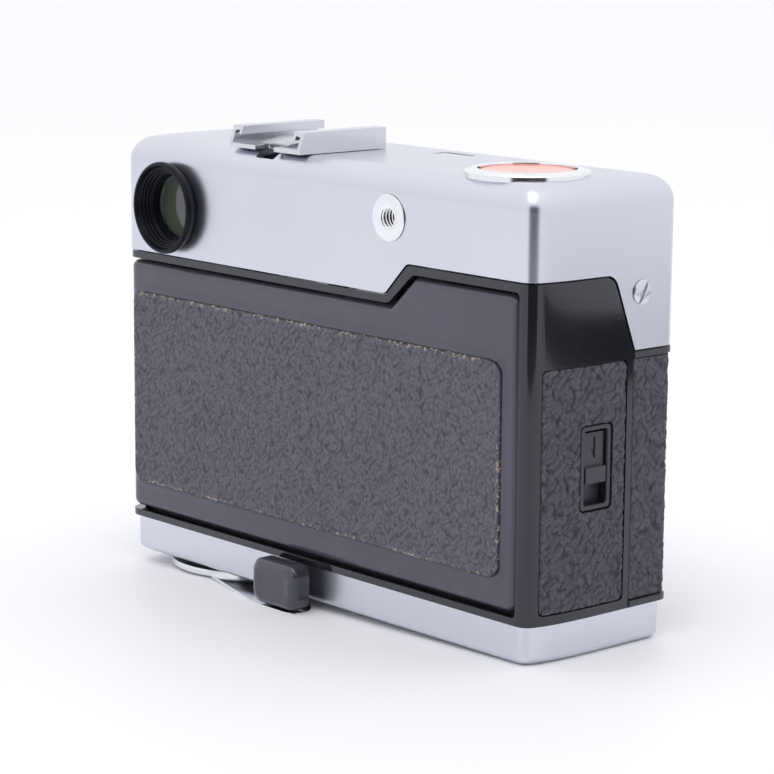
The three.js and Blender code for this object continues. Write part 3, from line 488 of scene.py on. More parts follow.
def orangeEnamel():
    m = Material("orangeEnamel", **{"Coat Roughness": 0.08})
    worn = m.noise(240, 5, 0.7).between(0.5, 0.75)
    m.set(
        Base_Color=m.mix(worn, (0.86, 0.17, 0.06), (0.80, 0.22, 0.11)), Roughness=0.24 + 0.12 * worn,
        Coat_Weight=0.8
    )
    m.bump(m.noise(1500, 2), 0.06, 0.00004)
    return m.material


def castAlloy():
    m = Material("castAlloy", Metallic=0.6)
    sand = m.noise(1400, 4, 0.65)
    m.set(Base_Color=m.mix(sand, (0.02, 0.02, 0.022), (0.06, 0.06, 0.063)), Roughness=0.55 + 0.2 * sand)
    m.bump(sand, 0.4, 0.00008)
    return m.material


def engravedScale():
    # satin ring with dark filled graduation lines, evenly spaced round the lens axis
    m = Material("engravedScale", Metallic=1.0)
    across = m.node("ShaderNodeSeparateXYZ", None, m.place)
    up = m.node("ShaderNodeSeparateXYZ", None, m.place, output=2) - (lensAxisZ + origin[2]) * mm
    # the turn is counted in graduations, and a line is where it comes near a whole number
    turn = across.math("ARCTAN2", up, across) * (36 / (2 * math.pi))
    past = turn - turn.math("ROUND", turn)
    line = 1 - past.math("ABSOLUTE", past).between(0.05, 0.08)
    wear = m.noise(240, 4, 0.7).between(0.45, 0.75)
    steel = m.mix(wear, (0.66, 0.67, 0.70), (0.55, 0.55, 0.57))
    m.set(Base_Color=m.mix(line, steel, (0.02, 0.02, 0.02)), Roughness=0.26 + 0.12 * wear + 0.2 * line)
    m.bump(m.noise(2400, 2) - 2 * line, 0.15, 0.00005)
    return m.material


chrome = satinChrome("satinChrome", (0.62, 0.635, 0.70), (0.69, 0.705, 0.765), 0.28)
bright = brightChrome()
steel = spunMetal("springSteel", (0.62, 0.63, 0.65), (0.45, 0.45, 0.46), 0.22)
brass = spunMetal("turnedBrass", (0.68, 0.52, 0.26), (0.45, 0.33, 0.16), 0.28)
satinBlack = moulded("satinBlack", (0.034, 0.034, 0.039), 0.34, 0.08)
deepBlack = moulded("deepBlack", (0.006, 0.006, 0.008), 0.28, 0.1, specular=0.16)
tabBlack = moulded("tabBlack", (0.036, 0.036, 0.045), 0.2, 0.08, coat=0.5)
doorBlack = moulded("doorBlack", (0.052, 0.052, 0.068), 0.22, 0.06, coat=0.2)
glossBlack = moulded("glossBlack", (0.010, 0.010, 0.012), 0.08, 0.05, coat=0.4)
ringBlack = spunMetal("ringBlack", (0.045, 0.045, 0.05), (0.11, 0.11, 0.115), 0.3)
panelGloss = moulded("panelGloss", (0.012, 0.012, 0.014), 0.06, 0.04, coat=0.8)
scaleRing = engravedScale()
shoeMetal = satinChrome("foldedSteel", (0.62, 0.63, 0.68), (0.68, 0.69, 0.74), 0.22)
# the first colour is the painted shade of the grain's valleys, the second the crowns; the last number sets the
# painted seam shade and the specks
doorGrain = leatherette("doorLeatherette", (0.034, 0.034, 0.044), (0.108, 0.108, 0.135), 1.0)
sideGrain = leatherette("sideLeatherette", (0.012, 0.012, 0.017), (0.070, 0.070, 0.090), 0.1)
finderGlass = coatedGlass("finderGlass", (0.10, 0.115, 0.085), 0.55)
# painted reflection: the counter pane is near white and mostly opaque, standing in for the bright sky it reflects
counterPanePaintedGlare = coatedGlass("counterPanePaintedGlare", (0.72, 0.73, 0.76), 0.86)
glass = coatedGlass("coatedGlass", (0.55, 0.62, 0.66), 0.32)
lensGlass = coatedGlass("lensGlass", (0.18, 0.16, 0.26), 0.45)
orange = orangeEnamel()
alloy = castAlloy()
slotFinish = dict(
    satin_chrome=chrome, bright_chrome=bright, cast_alloy=alloy, gloss_black=glossBlack,
    black_plastic=satinBlack,
    leatherette=sideGrain, glass=glass, orange_plastic=orange, spring_steel=steel, brass=brass,
)
for name, slot in slotOf.items():
    nodes[name].data.materials.clear()
    nodes[name].data.materials.append(slotFinish[slot])
print("finishes made")


support = dict(slope=-0.0235, touchX=21.7, reach=3500)


def makeFloor():
    m = Material("paleFloor", Roughness=0.55)
    cloud = m.noise(3, 3)
    grain = m.noise(420, 3)
    m.set(Base_Color=m.mix(cloud, (0.87, 0.868, 0.895), (0.90, 0.898, 0.92)), Roughness=0.5 + 0.1 * grain)
    m.bump(grain, 0.05, 0.0001)
    reach = support["reach"]
    xs = np.array([-reach, reach, reach, -reach])
    ys = np.array([-reach, -reach, reach, reach])
    points = np.column_stack([xs, ys, support["slope"] * (xs - support["touchX"])]) - origin
    floor = newObject("studioFloor", points, [[0, 1, 2, 3]])
    floor.data.materials.append(m.material)


def makeSky():
    world = bpy.data.worlds.new("studioLight")
    world.use_nodes = True
    bpy.context.scene.world = world
    tree = world.node_tree
    tree.nodes.clear()
    place = tree.nodes.new("ShaderNodeTexCoord")
    split = tree.nodes.new("ShaderNodeSeparateXYZ")
    ramp = tree.nodes.new("ShaderNodeValToRGB")
    shade = tree.nodes.new("ShaderNodeBackground")
    out = tree.nodes.new("ShaderNodeOutputWorld")
    tree.links.new(place.outputs["Generated"], split.inputs[0])
    tree.links.new(split.outputs[2], ramp.inputs[0])
    tree.links.new(ramp.outputs[0], shade.inputs[0])
    tree.links.new(shade.outputs[0], out.inputs[0])
    ramp.color_ramp.elements[0].position = 0.0
    ramp.color_ramp.elements[0].color = (0.955, 0.957, 0.985, 1)
    ramp.color_ramp.elements[1].position = 0.9
    ramp.color_ramp.elements[1].color = (1.13, 1.13, 1.16, 1)


def areaLight(name, place, target, size, power):
    data = bpy.data.lights.new(name, "AREA")
    data.size = size * mm
    data.energy = power
    lamp = bpy.data.objects.new(name, data)
    away = Vector(place) - Vector(target)
    lamp.matrix_world = Matrix.Translation(
        Vector(place) * mm
    ) @ away.to_track_quat("Z", "Y").to_matrix().to_4x4()
    bpy.context.scene.collection.objects.link(lamp)


def darkCard(name, place, facing, width, height):
    # a dark board that only shows as a reflection
    m = Material(name, Roughness=0.9)
    m.set(Base_Color=m.mix(m.noise(4, 2), (0.010, 0.010, 0.013), (0.018, 0.018, 0.022)))
    facing = Vector((*facing, 0)).normalized()
    across = Vector((-facing.y, facing.x, 0))
    low = Vector((*place, -25))
    corners = [low - across * width / 2, low + across * width / 2]
    corners += [corners[1] + Vector((0, 0, height)), corners[0] + Vector((0, 0, height))]
    card = newObject(name, np.array([list(c) for c in corners]) - origin, [[0, 1, 2, 3]])
    card.data.materials.append(m.material)
    card.visible_camera = False
    card.visible_diffuse = False
    card.visible_shadow = False


bpy.context.scene.view_settings.view_transform = "Standard"
makeFloor()
makeSky()
areaLight("overhead", (-150, 250, 900), (0, 0, 40), 700, 1.8)
darkCard("sideCard", (-227, -161), (0.747, 0.665), 330, 48)
darkCard("rearCard", (-227, 176), (0.747, -0.665), 300, 240)
print("stage set")


cover = dict(
    edgeZ=52.5, lowStepZ=60.05, highStepZ=65.9, stepStartX=-19.7, stepEndX=-25.4, sideTopY=-18.5,
    sideBottomY=-23.7,
    sideCorner=2.2, wall=1.0, edgeRadius=4.5, bevel=0.16,
)
eyepiece = dict(x=41.8, z=69.3, radius=8.75, bore=6.2, proud=2.6)
bush = dict(x=-20.7, z=73.4, radius=4.15, hole=1.65)
release = dict(x=-42.1, y=-12.4, radius=10.9, proud=1.2, button=8.2, recess=0.4)
counter = dict(x=-10.2, y=-25, length=8.4, width=3.6)
screw = dict(y=-25, z=62.4, radius=2.15, proud=0.6)
windows = [(41.8, 15, 11), (22, 12, 8), (4, 6, 5)]
farX = halfWidth + 6


def quarter(radius, edge, end, steps=10):
    # (height, inset) levels of a quarter round that ends at a height
    turn = np.linspace(0, math.pi / 2, steps)
    rise = 1 if end > edge else -1
    heights = end - rise * radius * (1 - np.sin(turn))
    return [(edge, 0.0)] + list(zip(heights, radius * (1 - np.cos(turn))))


def underEdge(drop, back, name="underEdge"):
    # the space under the cover's stepped edge: two heights joined by a slant, with a raked front
    low, high = cover["lowStepZ"] - drop, cover["highStepZ"] - drop
    start, end = cover["stepStartX"] - 0.4 * drop, cover["stepEndX"] - 0.4 * drop
    edge = [(farX, -9), (farX, low)] + rounded(
        [(start + 9, low), (start, low), (end, high), (end - 9, high)], 0.8
    )[6:18]
    region = prism(name, edge + [(-farX, high), (-farX, -9)], cover["sideBottomY"] + drop, back, "Y")
    bottom, top = cover["sideBottomY"] + drop, cover["sideTopY"] + drop
    corner = np.array(curve((top - 0.8, high - 2.06), (top, high), (top + cover["sideCorner"], high), 8))
    keep = [(bottom - 1, cover["edgeZ"]), (bottom, cover["edgeZ"])] + corner.tolist() + [
        (top + 9, high), (top + 9, high + 9), (bottom - 1, high + 9)
    ]
    return carve(region, prism("rake", keep, -farX - 1, -halfWidth + 12, "X"))


def drum(radius, low, high, centre, axis, steps=64):
    return turned(
        "drum", [(0, low), (radius, low), (radius, high), (0, high)], centre, axis, steps, closed=False
    )


def windowRect(window, grow, radius):
    x, width, height = window
    w, h, z = width / 2 + grow, height / 2 + grow, eyepiece["z"]
    return roundedRect(x - w, x + w, z - h, z + h, radius)


def makeCover():
    top, edge, wall = coverTop, cover["edgeZ"], cover["wall"]
    outer = stacked("topCover", bodyOutline, quarter(cover["edgeRadius"], edge, top))
    inner = stacked(
        "hollow", lambda inset: bodyOutline(wall + inset),
        quarter(cover["edgeRadius"] - wall, edge - 2, top - wall)
    )
    carve(outer, [inner, underEdge(0, 5)])
    cuts = [drum(eyepiece["bore"] + 1.4, -4, 2, (eyepiece["x"], 0, eyepiece["z"]), "Y")]
    cuts.append(drum(bush["hole"] + 1, -4, 2, (bush["x"], 0, bush["z"]), "Y"))
    cuts.append(drum(release["button"] + 1.6, top - 3, top + 2, (release["x"], release["y"], 0), "Z", 96))
    half, deep = counter["length"] / 2, counter["width"] / 2
    slot = roundedRect(
        counter["x"] - half, counter["x"] + half, counter["y"] - deep, counter["y"] + deep, 0.5
    )
    cuts.append(prism("counterCut", slot, top - 3, top + 2))
    for side in (-1, 1):
        cuts.append(
            drum(1.3, min(0, side * farX), max(0, side * farX), (0, screw["y"], screw["z"]), "X", 24)
        )
    for window in windows:
        cuts.append(prism("windowCut", windowRect(window, 0, 0.6), -bodyDepth - 3, -bodyDepth + 3, "Y"))
    # the sheet is cut away between the shoe's tongues
    well = roundedRect(
        shoe["x"] - shoe["gap"] / 2, shoe["x"] + shoe["gap"] / 2, shoe["back"] - 5, shoe["back"] - 0.05,
        0.4
    )
    cuts.append(prism("shoeWell", well, top - 3, top + 2))
    carve(outer, cuts)
    softEdges(outer, cover["bevel"], 50)
    finishPiece(outer, "body", chrome, "top_cover", sharp=38)


shoe = dict(
    x=15.1, width=20.5, wall=0.95, back=-1.3, length=20.6, height=4.1, lip=2.9, lipThick=1.6, floor=0.8,
    gap=5.3, rake=1.4
)
makeCover()
print("top cover made")


base = dict(inset=0.9, height=6.8, floor=1.2, wall=1.1, edge=1.6)
hub = dict(x=38.2, y=-17.4, shaft=4, slide=0.4)
fittings = dict(rewindX=-39, rewind=9, tripodX=2, tripod=6, batteryX=-20, battery=6.5, y=-17.4)
baseScrews = [(52, -29), (-52, -6), (20, -29)]


def makeBase():
    outer = stacked(
        "basePlate", lambda inset: bodyOutline(base["inset"] + inset),
        quarter(base["edge"], base["height"], 0)
    )
    inner = bodyOutline(base["inset"] + base["wall"])
    cuts = [prism("hollow", inner, base["floor"], base["height"] + 1)]
    holes = [(hub["x"], hub["y"], hub["shaft"] + hub["slide"])]
    holes.append((fittings["rewindX"], fittings["y"], fittings["rewind"] + hub["slide"]))
    holes.append((fittings["tripodX"], fittings["y"], fittings["tripod"] + 0.3))
    holes.append((fittings["batteryX"], fittings["y"], fittings["battery"] + 0.3))
    holes += [(x, y, screw["radius"] + 0.3) for x, y in baseScrews]
    for x, y, radius in holes:
        cuts.append(drum(radius, -1, base["floor"] + 1, (x, y, 0), "Z", 48))
    carve(outer, cuts)
    softEdges(outer, 0.14, 50)
    finishPiece(outer, "body", chrome, "base_plate", sharp=38)


door = dict(
    bottom=8.9, top=57.9, stepTop=63.6, startX=-20.7, endX=-27, freeX=-52.75, thickness=2, wrapY=-16,
    gap=0.5,
    edge=1.5, corner=2.4, lip=1.7, leatherLow=14.4, leatherHigh=52, leatherLeft=53.6, leatherRight=-49.4,
    leatherRadius=3,
)
hinge = dict(x=54.6, y=-19, radius=2.2, pin=0.9, knuckle=6)
side = dict(
    frontY=-22, backY=-2.8, top=51, windowY=-15, windowZ=33.2, width=5.4, height=12.8, frame=0.9,
    barZ=31.9, barHeight=2.8
)
frameWall = 1.6
bottomZ = base["height"] + 0.3


def doorRegion(grow, y0, y1):
    corners = [
        (farX, door["bottom"] - grow), (farX, door["top"] + grow),
        (door["startX"] + 0.4 * grow, door["top"] + grow)
    ]
    corners += [
        (door["endX"] + 0.4 * grow, door["stepTop"] + grow),
        (door["freeX"] - grow, door["stepTop"] + grow)
    ]
    corners += [(door["freeX"] - grow, door["bottom"] - grow)]
    return prism("doorRegion", rounded(corners, 0.5 + grow), y0, y1, "Y")


def windowShape(grow):
    w, h = side["width"] / 2 + grow, side["height"] / 2 + grow
    return roundedRect(
        side["windowY"] - w, side["windowY"] + w, side["windowZ"] - h, side["windowZ"] + h,
        0.5 + 0.4 * grow
    )


def makeRearFrame():
    whole = prism("rearFrame", bodyOutline(0.1), bottomZ, cover["highStepZ"])
    carve(whole, underEdge(0.3, 5, "shape"), "INTERSECT")
    pocket = roundedRect(
        side["frontY"] - 0.1, side["backY"] + 0.1, door["bottom"] - 0.1, side["top"] + 0.1, 0.9
    )
    pocket = prism("pocket", pocket, -farX, -halfWidth / 2, "X")
    carve(pocket, prism("pocketSkin", bodyOutline(1.1), 0, coverTop))
    hollow = prism("hollow", bodyOutline(0.1 + frameWall), 0, coverTop)
    window = prism("window", windowShape(0), -farX, -halfWidth / 2, "X")
    carve(whole, [hollow, doorRegion(door["gap"], cover["sideBottomY"] - 1, 1), pocket, window])
    softEdges(whole, 0.22, 50)
    finishPiece(whole, "body", glossBlack, "rear_frame", sharp=38)
    ends = [
        (bottomZ, door["bottom"] + hinge["knuckle"]),
        (door["top"] - hinge["knuckle"], cover["lowStepZ"] - 0.3)
    ]
    for index, (low, high) in enumerate(ends):
        knuckle(f"frameKnuckle{index}", low, high, "body", "gloss_black")


def knuckle(name, low, high, body, slot):
    bore, r, x, y = hinge["pin"] + 0.3, hinge["radius"], hinge["x"], hinge["y"]
    profile = [(bore, low), (r - 0.3, low), (r, low + 0.3), (r, high - 0.3), (r - 0.3, high), (bore, high)]
    turned(name, profile, (x, y, 0), "Z", 48, body=body, material=satinBlack, slot=slot)


def spread(low, high, step, fine, reach):
    # positions from low to high, closer together within a distance of either end
    near = np.arange(0, reach, fine)
    middle = np.linspace(low + reach, high - reach, max(2, int((high - low - 2 * reach) / step)))
    return np.concatenate([low + near, middle, high - near[::-1]])


def sheet(name, columns, rows, lowAt, highAt, liftAt, depth, skin=onSkin):
    # a thick skin: column s spans lowAt(s) to highAt(s), its face lifted by liftAt(s, z, edge distance)
    s = columns[:, None] + 0 * rows[None, :]
    low, high = lowAt(columns)[:, None], highAt(columns)[:, None]
    share = (rows - rows[0]) / (rows[-1] - rows[0])
    z = low + share * (high - low)
    edge = np.minimum.reduce([s - columns[0], columns[-1] - s, z - low, high - z])
    lift, extra = liftAt(s, z, np.maximum(edge, 0))
    x, y = skin(s, lift)
    ends = np.stack([low[:, 0], high[:, 0]], 1)
    bx, by = skin(columns, -depth + 0 * columns)
    front = np.stack([x, y, z], -1).reshape(-1, 3)
    back = np.stack([np.repeat(bx, 2), np.repeat(by, 2), ends.ravel()], -1)
    m, n = s.shape
    index = np.arange(m * n).reshape(m, n)
    under = m * n + np.arange(m * 2).reshape(m, 2)
    faces = gridFaces(m, n)
    # the back is one strip, and the ends are closed by flat faces
    faces += np.stack([under[:-1, 0], under[:-1, 1], under[1:, 1], under[1:, 0]], -1).tolist()
    faces += np.stack([index[:-1, 0], under[:-1, 0], under[1:, 0], index[1:, 0]], -1).tolist()
    faces += np.stack([index[:-1, -1], index[1:, -1], under[1:, 1], under[:-1, 1]], -1).tolist()
    faces += [index[0, ::-1].tolist() + under[0].tolist(), index[-1].tolist() + under[-1, ::-1].tolist()]
    mesh = bpy.data.meshes.new(name)
    points = (np.concatenate([front, back]) + origin) * mm
    mesh.from_pydata(points.tolist(), [], faces)
    for key, values in extra.items():
        layer = mesh.attributes.new(key, "FLOAT", "POINT")
        layer.data.foreach_set("value", np.append(values.ravel(), np.zeros(2 * m)).astype(np.float32))
    obj = bpy.data.objects.new(name, mesh)
    bpy.context.scene.collection.objects.link(obj)
    tidyMesh(mesh, merge=False)
    return obj


def roundedLimit(columns, low, high, radius, sign):
    # how far a rounded corner takes the top or bottom edge in at each column
    near = np.minimum(columns - low, high - columns)
    inside = np.clip(radius - near, 0, radius)
    return sign * (radius - np.sqrt(np.maximum(radius**2 - inside**2, 0)))


def makeDoor():
    end = skinAtY(door["wrapY"])
    columns = spread(door["freeX"], end, 0.5, 0.1, 3.2)
    # the slanted step needs columns of its own
    columns = np.unique(
        np.round(np.append(columns, np.linspace(door["endX"] - 2, door["startX"] + 2, 40)), 4)
    )
    rows = spread(door["bottom"], door["top"], 0.5, 0.1, 3.2)

    def lowAt(s):
        return door["bottom"] - roundedLimit(s, door["freeX"], end, door["corner"], -1)

    def highAt(s):
        climb = np.clip((door["startX"] - s) / (door["startX"] - door["endX"]), 0, 1)
        ease = 0.9 * climb + 0.1 * climb * climb * (3 - 2 * climb)
        return door["top"] + ease * (door["stepTop"] - door["top"]) - roundedLimit(
            s, door["freeX"], end, door["corner"], 1
        )

    def liftAt(s, z, edge):
        r = door["edge"]
        edge = np.minimum(edge, end - s)
        rim = -(r - np.sqrt(np.maximum(r * r - (r - np.minimum(edge, r)) ** 2, 0)))
        w, h = (
            door["leatherLeft"] - door["leatherRight"]
        ) / 2, (door["leatherHigh"] - door["leatherLow"]) / 2
        cx, cz = (
            door["leatherLeft"] + door["leatherRight"]
        ) / 2, (door["leatherHigh"] + door["leatherLow"]) / 2
        k = door["leatherRadius"]
        qx, qz = np.abs(s - cx) - w + k, np.abs(z - cz) - h + k
        away = np.hypot(np.maximum(qx, 0), np.maximum(qz, 0)) + np.minimum(np.maximum(qx, qz), 0) - k
        # a soft raised lip runs round the leather and the field outside it lies a little lower
        t = np.clip(away / door["lip"], 0, 1)
        field = -0.28 * t * t * (3 - 2 * t)
        recess = -0.3 * np.clip((0.15 - away) / 0.12, 0, 1)
        return rim + field + recess, {}

    slab = sheet("backDoor", columns, rows, lowAt, highAt, liftAt, door["thickness"])
    finishPiece(slab, "door", doorBlack, "back_door", sharp=60)
    low, high = door["bottom"] + hinge["knuckle"] + 0.3, door["top"] - hinge["knuckle"] - 0.3
    knuckle("doorKnuckle", low, high, "door", "black_plastic")
    r = hinge["radius"]
    web = roundedRect(hinge["x"] + 1.3, hinge["x"] + r - 0.1, hinge["y"], door["wrapY"] + 1, 0.25, 4)
    prism("doorWeb", web, low, high, body="door", material=satinBlack, slot="black_plastic")


def grains(s, z, size, seed):
    # domes 1 - (d / 0.85)^2 of their own heights, where d is the distance to the nearest scattered point
    rng = np.random.default_rng(seed)
    u, v = s / size, z / size
    cells = 512
    jitter = rng.random((cells, cells, 2))
    tall = rng.random((cells, cells))
    iu, iv = np.floor(u).astype(int), np.floor(v).astype(int)
    nearest = np.full(u.shape, 9.0)
    second = np.full(u.shape, 9.0)
    height = np.zeros(u.shape)
    for du in (-1, 0, 1):
        for dv in (-1, 0, 1):
            cu, cv = (iu + du) % cells, (iv + dv) % cells
            d = np.hypot(u - iu - du - jitter[cu, cv, 0], v - iv - dv - jitter[cu, cv, 1])
            nearer = d < nearest
            second = np.where(nearer, nearest, np.minimum(second, d))
            height = np.where(nearer, tall[cu, cv], height)
            nearest = np.where(nearer, d, nearest)
    dome = np.clip(1 - (nearest / 0.85) ** 2, 0, 1)
    valley = np.clip((second - nearest) / 0.3, 0, 1)
    return dome * (0.5 + 0.5 * height) * (0.55 + 0.45 * valley)


def leatherLift(proud, size, depth, seed):
    def lift(s, z, edge):
        # the grain leans and swirls, so that its rows aren't straight
        lean = s + 0.35 * z
        warp = 0.5 * size * np.sin(1.3 * z / size + 2.3 * np.sin(0.5 * s / size))
        swirl = 0.5 * size * np.sin(1.1 * s / size + 2.1 * np.sin(0.45 * z / size))
        coarse = grains(lean + warp, 0.8 * z + swirl, size, seed)
        fine = grains(lean + swirl, z + warp, size * 0.5, seed + 1)
        height = np.clip(0.72 * coarse + 0.38 * fine, 0, 1)
        t = np.clip(edge / 0.5, 0, 1)
        edgeDrop = 0.3 * (1 - np.sqrt(1 - (1 - t) ** 2))
        return proud - depth * (1 - height) - edgeDrop, {
            "edge": np.clip(edge / 2.0, 0, 1), "height": height
        }

    return lift


def makeLeathers():
    right, left, low, high = (
        door[key] for key in ("leatherRight", "leatherLeft", "leatherLow", "leatherHigh")
    )
    radius = door["leatherRadius"]
    columns, rows = spread(right, left, 0.21, 0.12, 1.2), spread(low, high, 0.21, 0.12, 1.2)
    corner = lambda s, sign: roundedLimit(s, right, left, radius, sign)
    lift = leatherLift(0.5, 0.8, 0.24, 3)
    back = sheet(
        "backLeather", columns, rows, lambda s: low - corner(s, -1), lambda s: high - corner(s, 1), lift,
        0.29,
    )
    finishPiece(back, "door", doorGrain, "door_leather", sharp=70)

    first, last = -skinAtY(side["frontY"]), -skinAtY(side["backY"])
    columns, rows = spread(first, last, 0.17, 0.1, 1.0), spread(door["bottom"], side["top"], 0.17, 0.1, 1.0)
    corner = lambda s, sign: roundedLimit(s, first, last, 1.2, sign)
    skin = sheet(
        "sideLeather", columns, rows, lambda s: door["bottom"] - corner(s, -1),
        lambda s: side["top"] - corner(s, 1),
        leatherLift(0.02, 1.05, 0.36, 11), 1.0,
    )
    carve(skin, prism("windowCut", windowShape(side["frame"] + 0.25), -farX, -halfWidth / 2, "X"))
    finishPiece(skin, "body", sideGrain, "side_leather", sharp=70)

    reach = skinLength[-1] - skinAtY(cover["sideBottomY"])
    low, high = door["bottom"] - 0.5, side["top"]
    columns, rows = spread(-reach, reach, 0.28, 0.15, 1.0), spread(low, high, 0.28, 0.15, 1.0)
    lift = leatherLift(-0.08, 1.05, 0.36, 23)
    front = sheet(
        "frontLeather", columns, rows, lambda s: low + 0 * s, lambda s: high + 0 * s, lift, 1.0,
        skin=lambda s, up: onSkin(np.where(s < 0, -1.0, 1.0) * (skinLength[-1] - np.abs(s)), up),
    )
    carve(front, drum(flangeHole, -bodyDepth - 3, -bodyDepth + 3, (0, 0, lensAxisZ), "Y", 96))
    finishPiece(front, "body", sideGrain, "front_leather", sharp=70)


def makeLatch():
    left, z = -halfWidth, side["barZ"]
    ringFront, ringBack = left + 0.3, left + 0.95
    frameRing = prism("latchFrame", windowShape(side["frame"]), ringFront, ringBack, "X")
    carve(frameRing, prism("opening", windowShape(0.1), left - 1, left + 3, "X"))
    softEdges(frameRing, 0.2, 50, 3)
    finishPiece(frameRing, "body", satinBlack, "latch_escutcheon")
    plateX = left + 0.1 + frameWall + 0.8
    y, half = side["windowY"], side["width"] / 2 - 0.3
    low, high = z - side["barHeight"] / 2, z + side["barHeight"] / 2
    plate = prism("latchSlider", roundedRect(y - 4, y + 4, 25.8, 41.5, 0.6), plateX, plateX + 0.8, "X")
    upper = prism(
        "upperPlate", roundedRect(y - half, y + half, high - 0.2, 39.2, 0.3), left + 1.0, plateX + 0.4,
        "X"
    )
    bar = prism("bar", roundedRect(y - half, y + half, low, high, 0.25), left + 0.3, plateX + 0.4, "X")
    carve(plate, [upper, bar], "UNION")
    # an engraved half arrow points down to the open position
    mid = y - 0.2
    arrow = [(mid - 0.25, 38.4), (mid + 0.25, 38.4), (mid + 0.25, 36.4)]
    arrow += [(mid + 1.1, 36.4), (mid, 34.7), (mid - 0.25, 34.7)]
    softEdges(plate, 0.16, 50, 2)
    carve(plate, [prism("arrow", arrow, left, left + 1.4, "X")])
    finishPiece(plate, "latch", satinBlack, "latch_slider")


def makeFrontTrim():
    # thin black bands over and under the front leather
    above = ("trimAbove", side["top"] + 0.1, cover["edgeZ"] - 0.25)
    below = ("trimBelow", bottomZ, door["bottom"] - 0.6)
    rearY = cover["sideBottomY"] - 0.05
    behind = [(-farX, rearY), (farX, rearY), (farX, 9), (-farX, 9)]
    for name, low, high in (above, below):
        band = prism(name, bodyOutline(-0.05), low, high)
        inside = prism("inside", bodyOutline(1.05), low - 1, high + 1)
        rear = prism("rear", behind, low - 1, high + 1)
        carve(
            band,
            [inside, rear, drum(flangeHole, -bodyDepth - 3, -bodyDepth + 3, (0, 0, lensAxisZ), "Y", 96)]
        )
        softEdges(band, 0.15, 50, 2)
        finishPiece(band, "body", satinBlack, ())


makeBase()
makeRearFrame()
makeFrontTrim()
makeDoor()
makeLeathers()
makeLatch()
print("body made")


def makeEyepiece():
    centre = (eyepiece["x"], 0, eyepiece["z"])
    outer, bore, proud = eyepiece["radius"], eyepiece["bore"], eyepiece["proud"]
    # stepped rings go down into the bore, each a little narrower than the last
    profile = [
        (outer - 0.75, 0.1), (outer - 0.55, 0.5), (outer, proud - 0.9)
    ] + arc(outer - 0.6, proud - 0.6, 0.6, 0, 90, 6)
    profile += [(outer - 0.75, proud - 0.02), (outer - 0.9, proud - 0.4)]
    for radius, depth in ((7.35, 1.6), (7.0, 1.1), (6.65, 0.55), (6.3, 0.0)):
        profile += [
            (radius + 0.28, depth + 0.05), (radius + 0.05, depth), (radius, depth - 0.06),
            (radius, depth - 0.28)
        ]
    profile += [(bore, -0.4), (bore, -2.2), (bore + 1.2, -2.2), (bore + 1.2, 0.05), (outer - 0.8, 0.05)]
    turned("eyepieceRing", profile, centre, "Y", 128, **standIn("eyepiece_ring", "body", deepBlack))
    r = bore - 0.3
    share = np.linspace(0, 1, 12)
    eye = [(r * s, -2.5 + 0.35 * (1 - s * s)) for s in share] + [(r, -3.4), (0, -3.4)]
    turned("eyepieceGlass", eye, centre, "Y", 96, False, **standIn("eyepiece_lens", "body", finderGlass))


def makeBush():
    centre = (bush["x"], 0, bush["z"])
    outer, hole = bush["radius"], bush["hole"]
    profile = [
        (outer, 0.1), (outer, 0.22), (outer - 0.18, 0.34), (2.45, 0.38), (2.3, 0.28), (hole + 0.12, 0.26)
    ]
    pitch = 0.72
    for turn in range(4):
        y = 0.15 - turn * pitch
        profile += [
            (hole + 0.42, y), (hole + 0.38, y - 0.12), (hole, y - pitch / 2), (hole, y - pitch / 2 - 0.1)
        ]
    profile += [(hole, -3.2), (hole + 0.7, -3.2), (hole + 0.7, 0.1)]
    turned("cableBush", profile, centre, "Y", 96, **standIn("cable_release_bush", "body", bright))
    plug = [(0, -2.9), (hole - 0.1, -2.9), (hole - 0.1, -3.6), (0, -3.6)]
    turned(
        "cableSocketEnd", plug, centre, "Y", 48, False, body="body", material=deepBlack,
        slot="bright_chrome"
    )


def makeRelease():
    centre = (release["x"], release["y"], coverTop)
    outer, proud, inner = release["radius"], release["proud"], release["button"] + 0.3
    neck = inner + 1
    profile = [
        (inner, -2.0), (neck, -2.0), (neck, -1.2), (outer - 1.2, -1.1), (outer, -0.3), (outer, 0.4)
    ] + arc(outer - 0.5, 0.4, 0.5, 0, 60, 6)
    profile += [
        (outer - 1.2, proud - 0.08), (outer - 1.5, proud), (inner + 0.25, proud),
        (inner + 0.05, proud - 0.12), (inner, proud - 0.3)
    ]
    turned("releaseRing", profile, centre, "Z", 160, **standIn("release_ring", "body", bright))
    r, top = release["button"], proud - release["recess"]
    cap = [
        (0, top - 0.22), (r * 0.5, top - 0.16), (r * 0.85, top - 0.04), (r - 0.6, top),
        (r - 0.3, top - 0.02), (r - 0.08, top - 0.12), (r, top - 0.35)
    ]
    cap += [(r, -0.9), (r - 1.2, -1.0), (0, -1.0)]
    turned("releaseButton", cap, centre, "Z", 160, False, **standIn("release_button", "release", orange))


def makeCounter():
    half, deep = counter["length"] / 2, counter["width"] / 2
    x, y, top = counter["x"], counter["y"], coverTop
    pane = prism(
        "counterPane",
        roundedRect(x - half + 0.12, x + half - 0.12, y - deep + 0.12, y + deep - 0.12, 0.4), top - 1.0,
        top - 0.12
    )
    softEdges(pane, 0.12, 50, 3)
    # the pane's near-white colour is a painted reflection
    finishPiece(pane, "body", counterPanePaintedGlare, "counter_window")


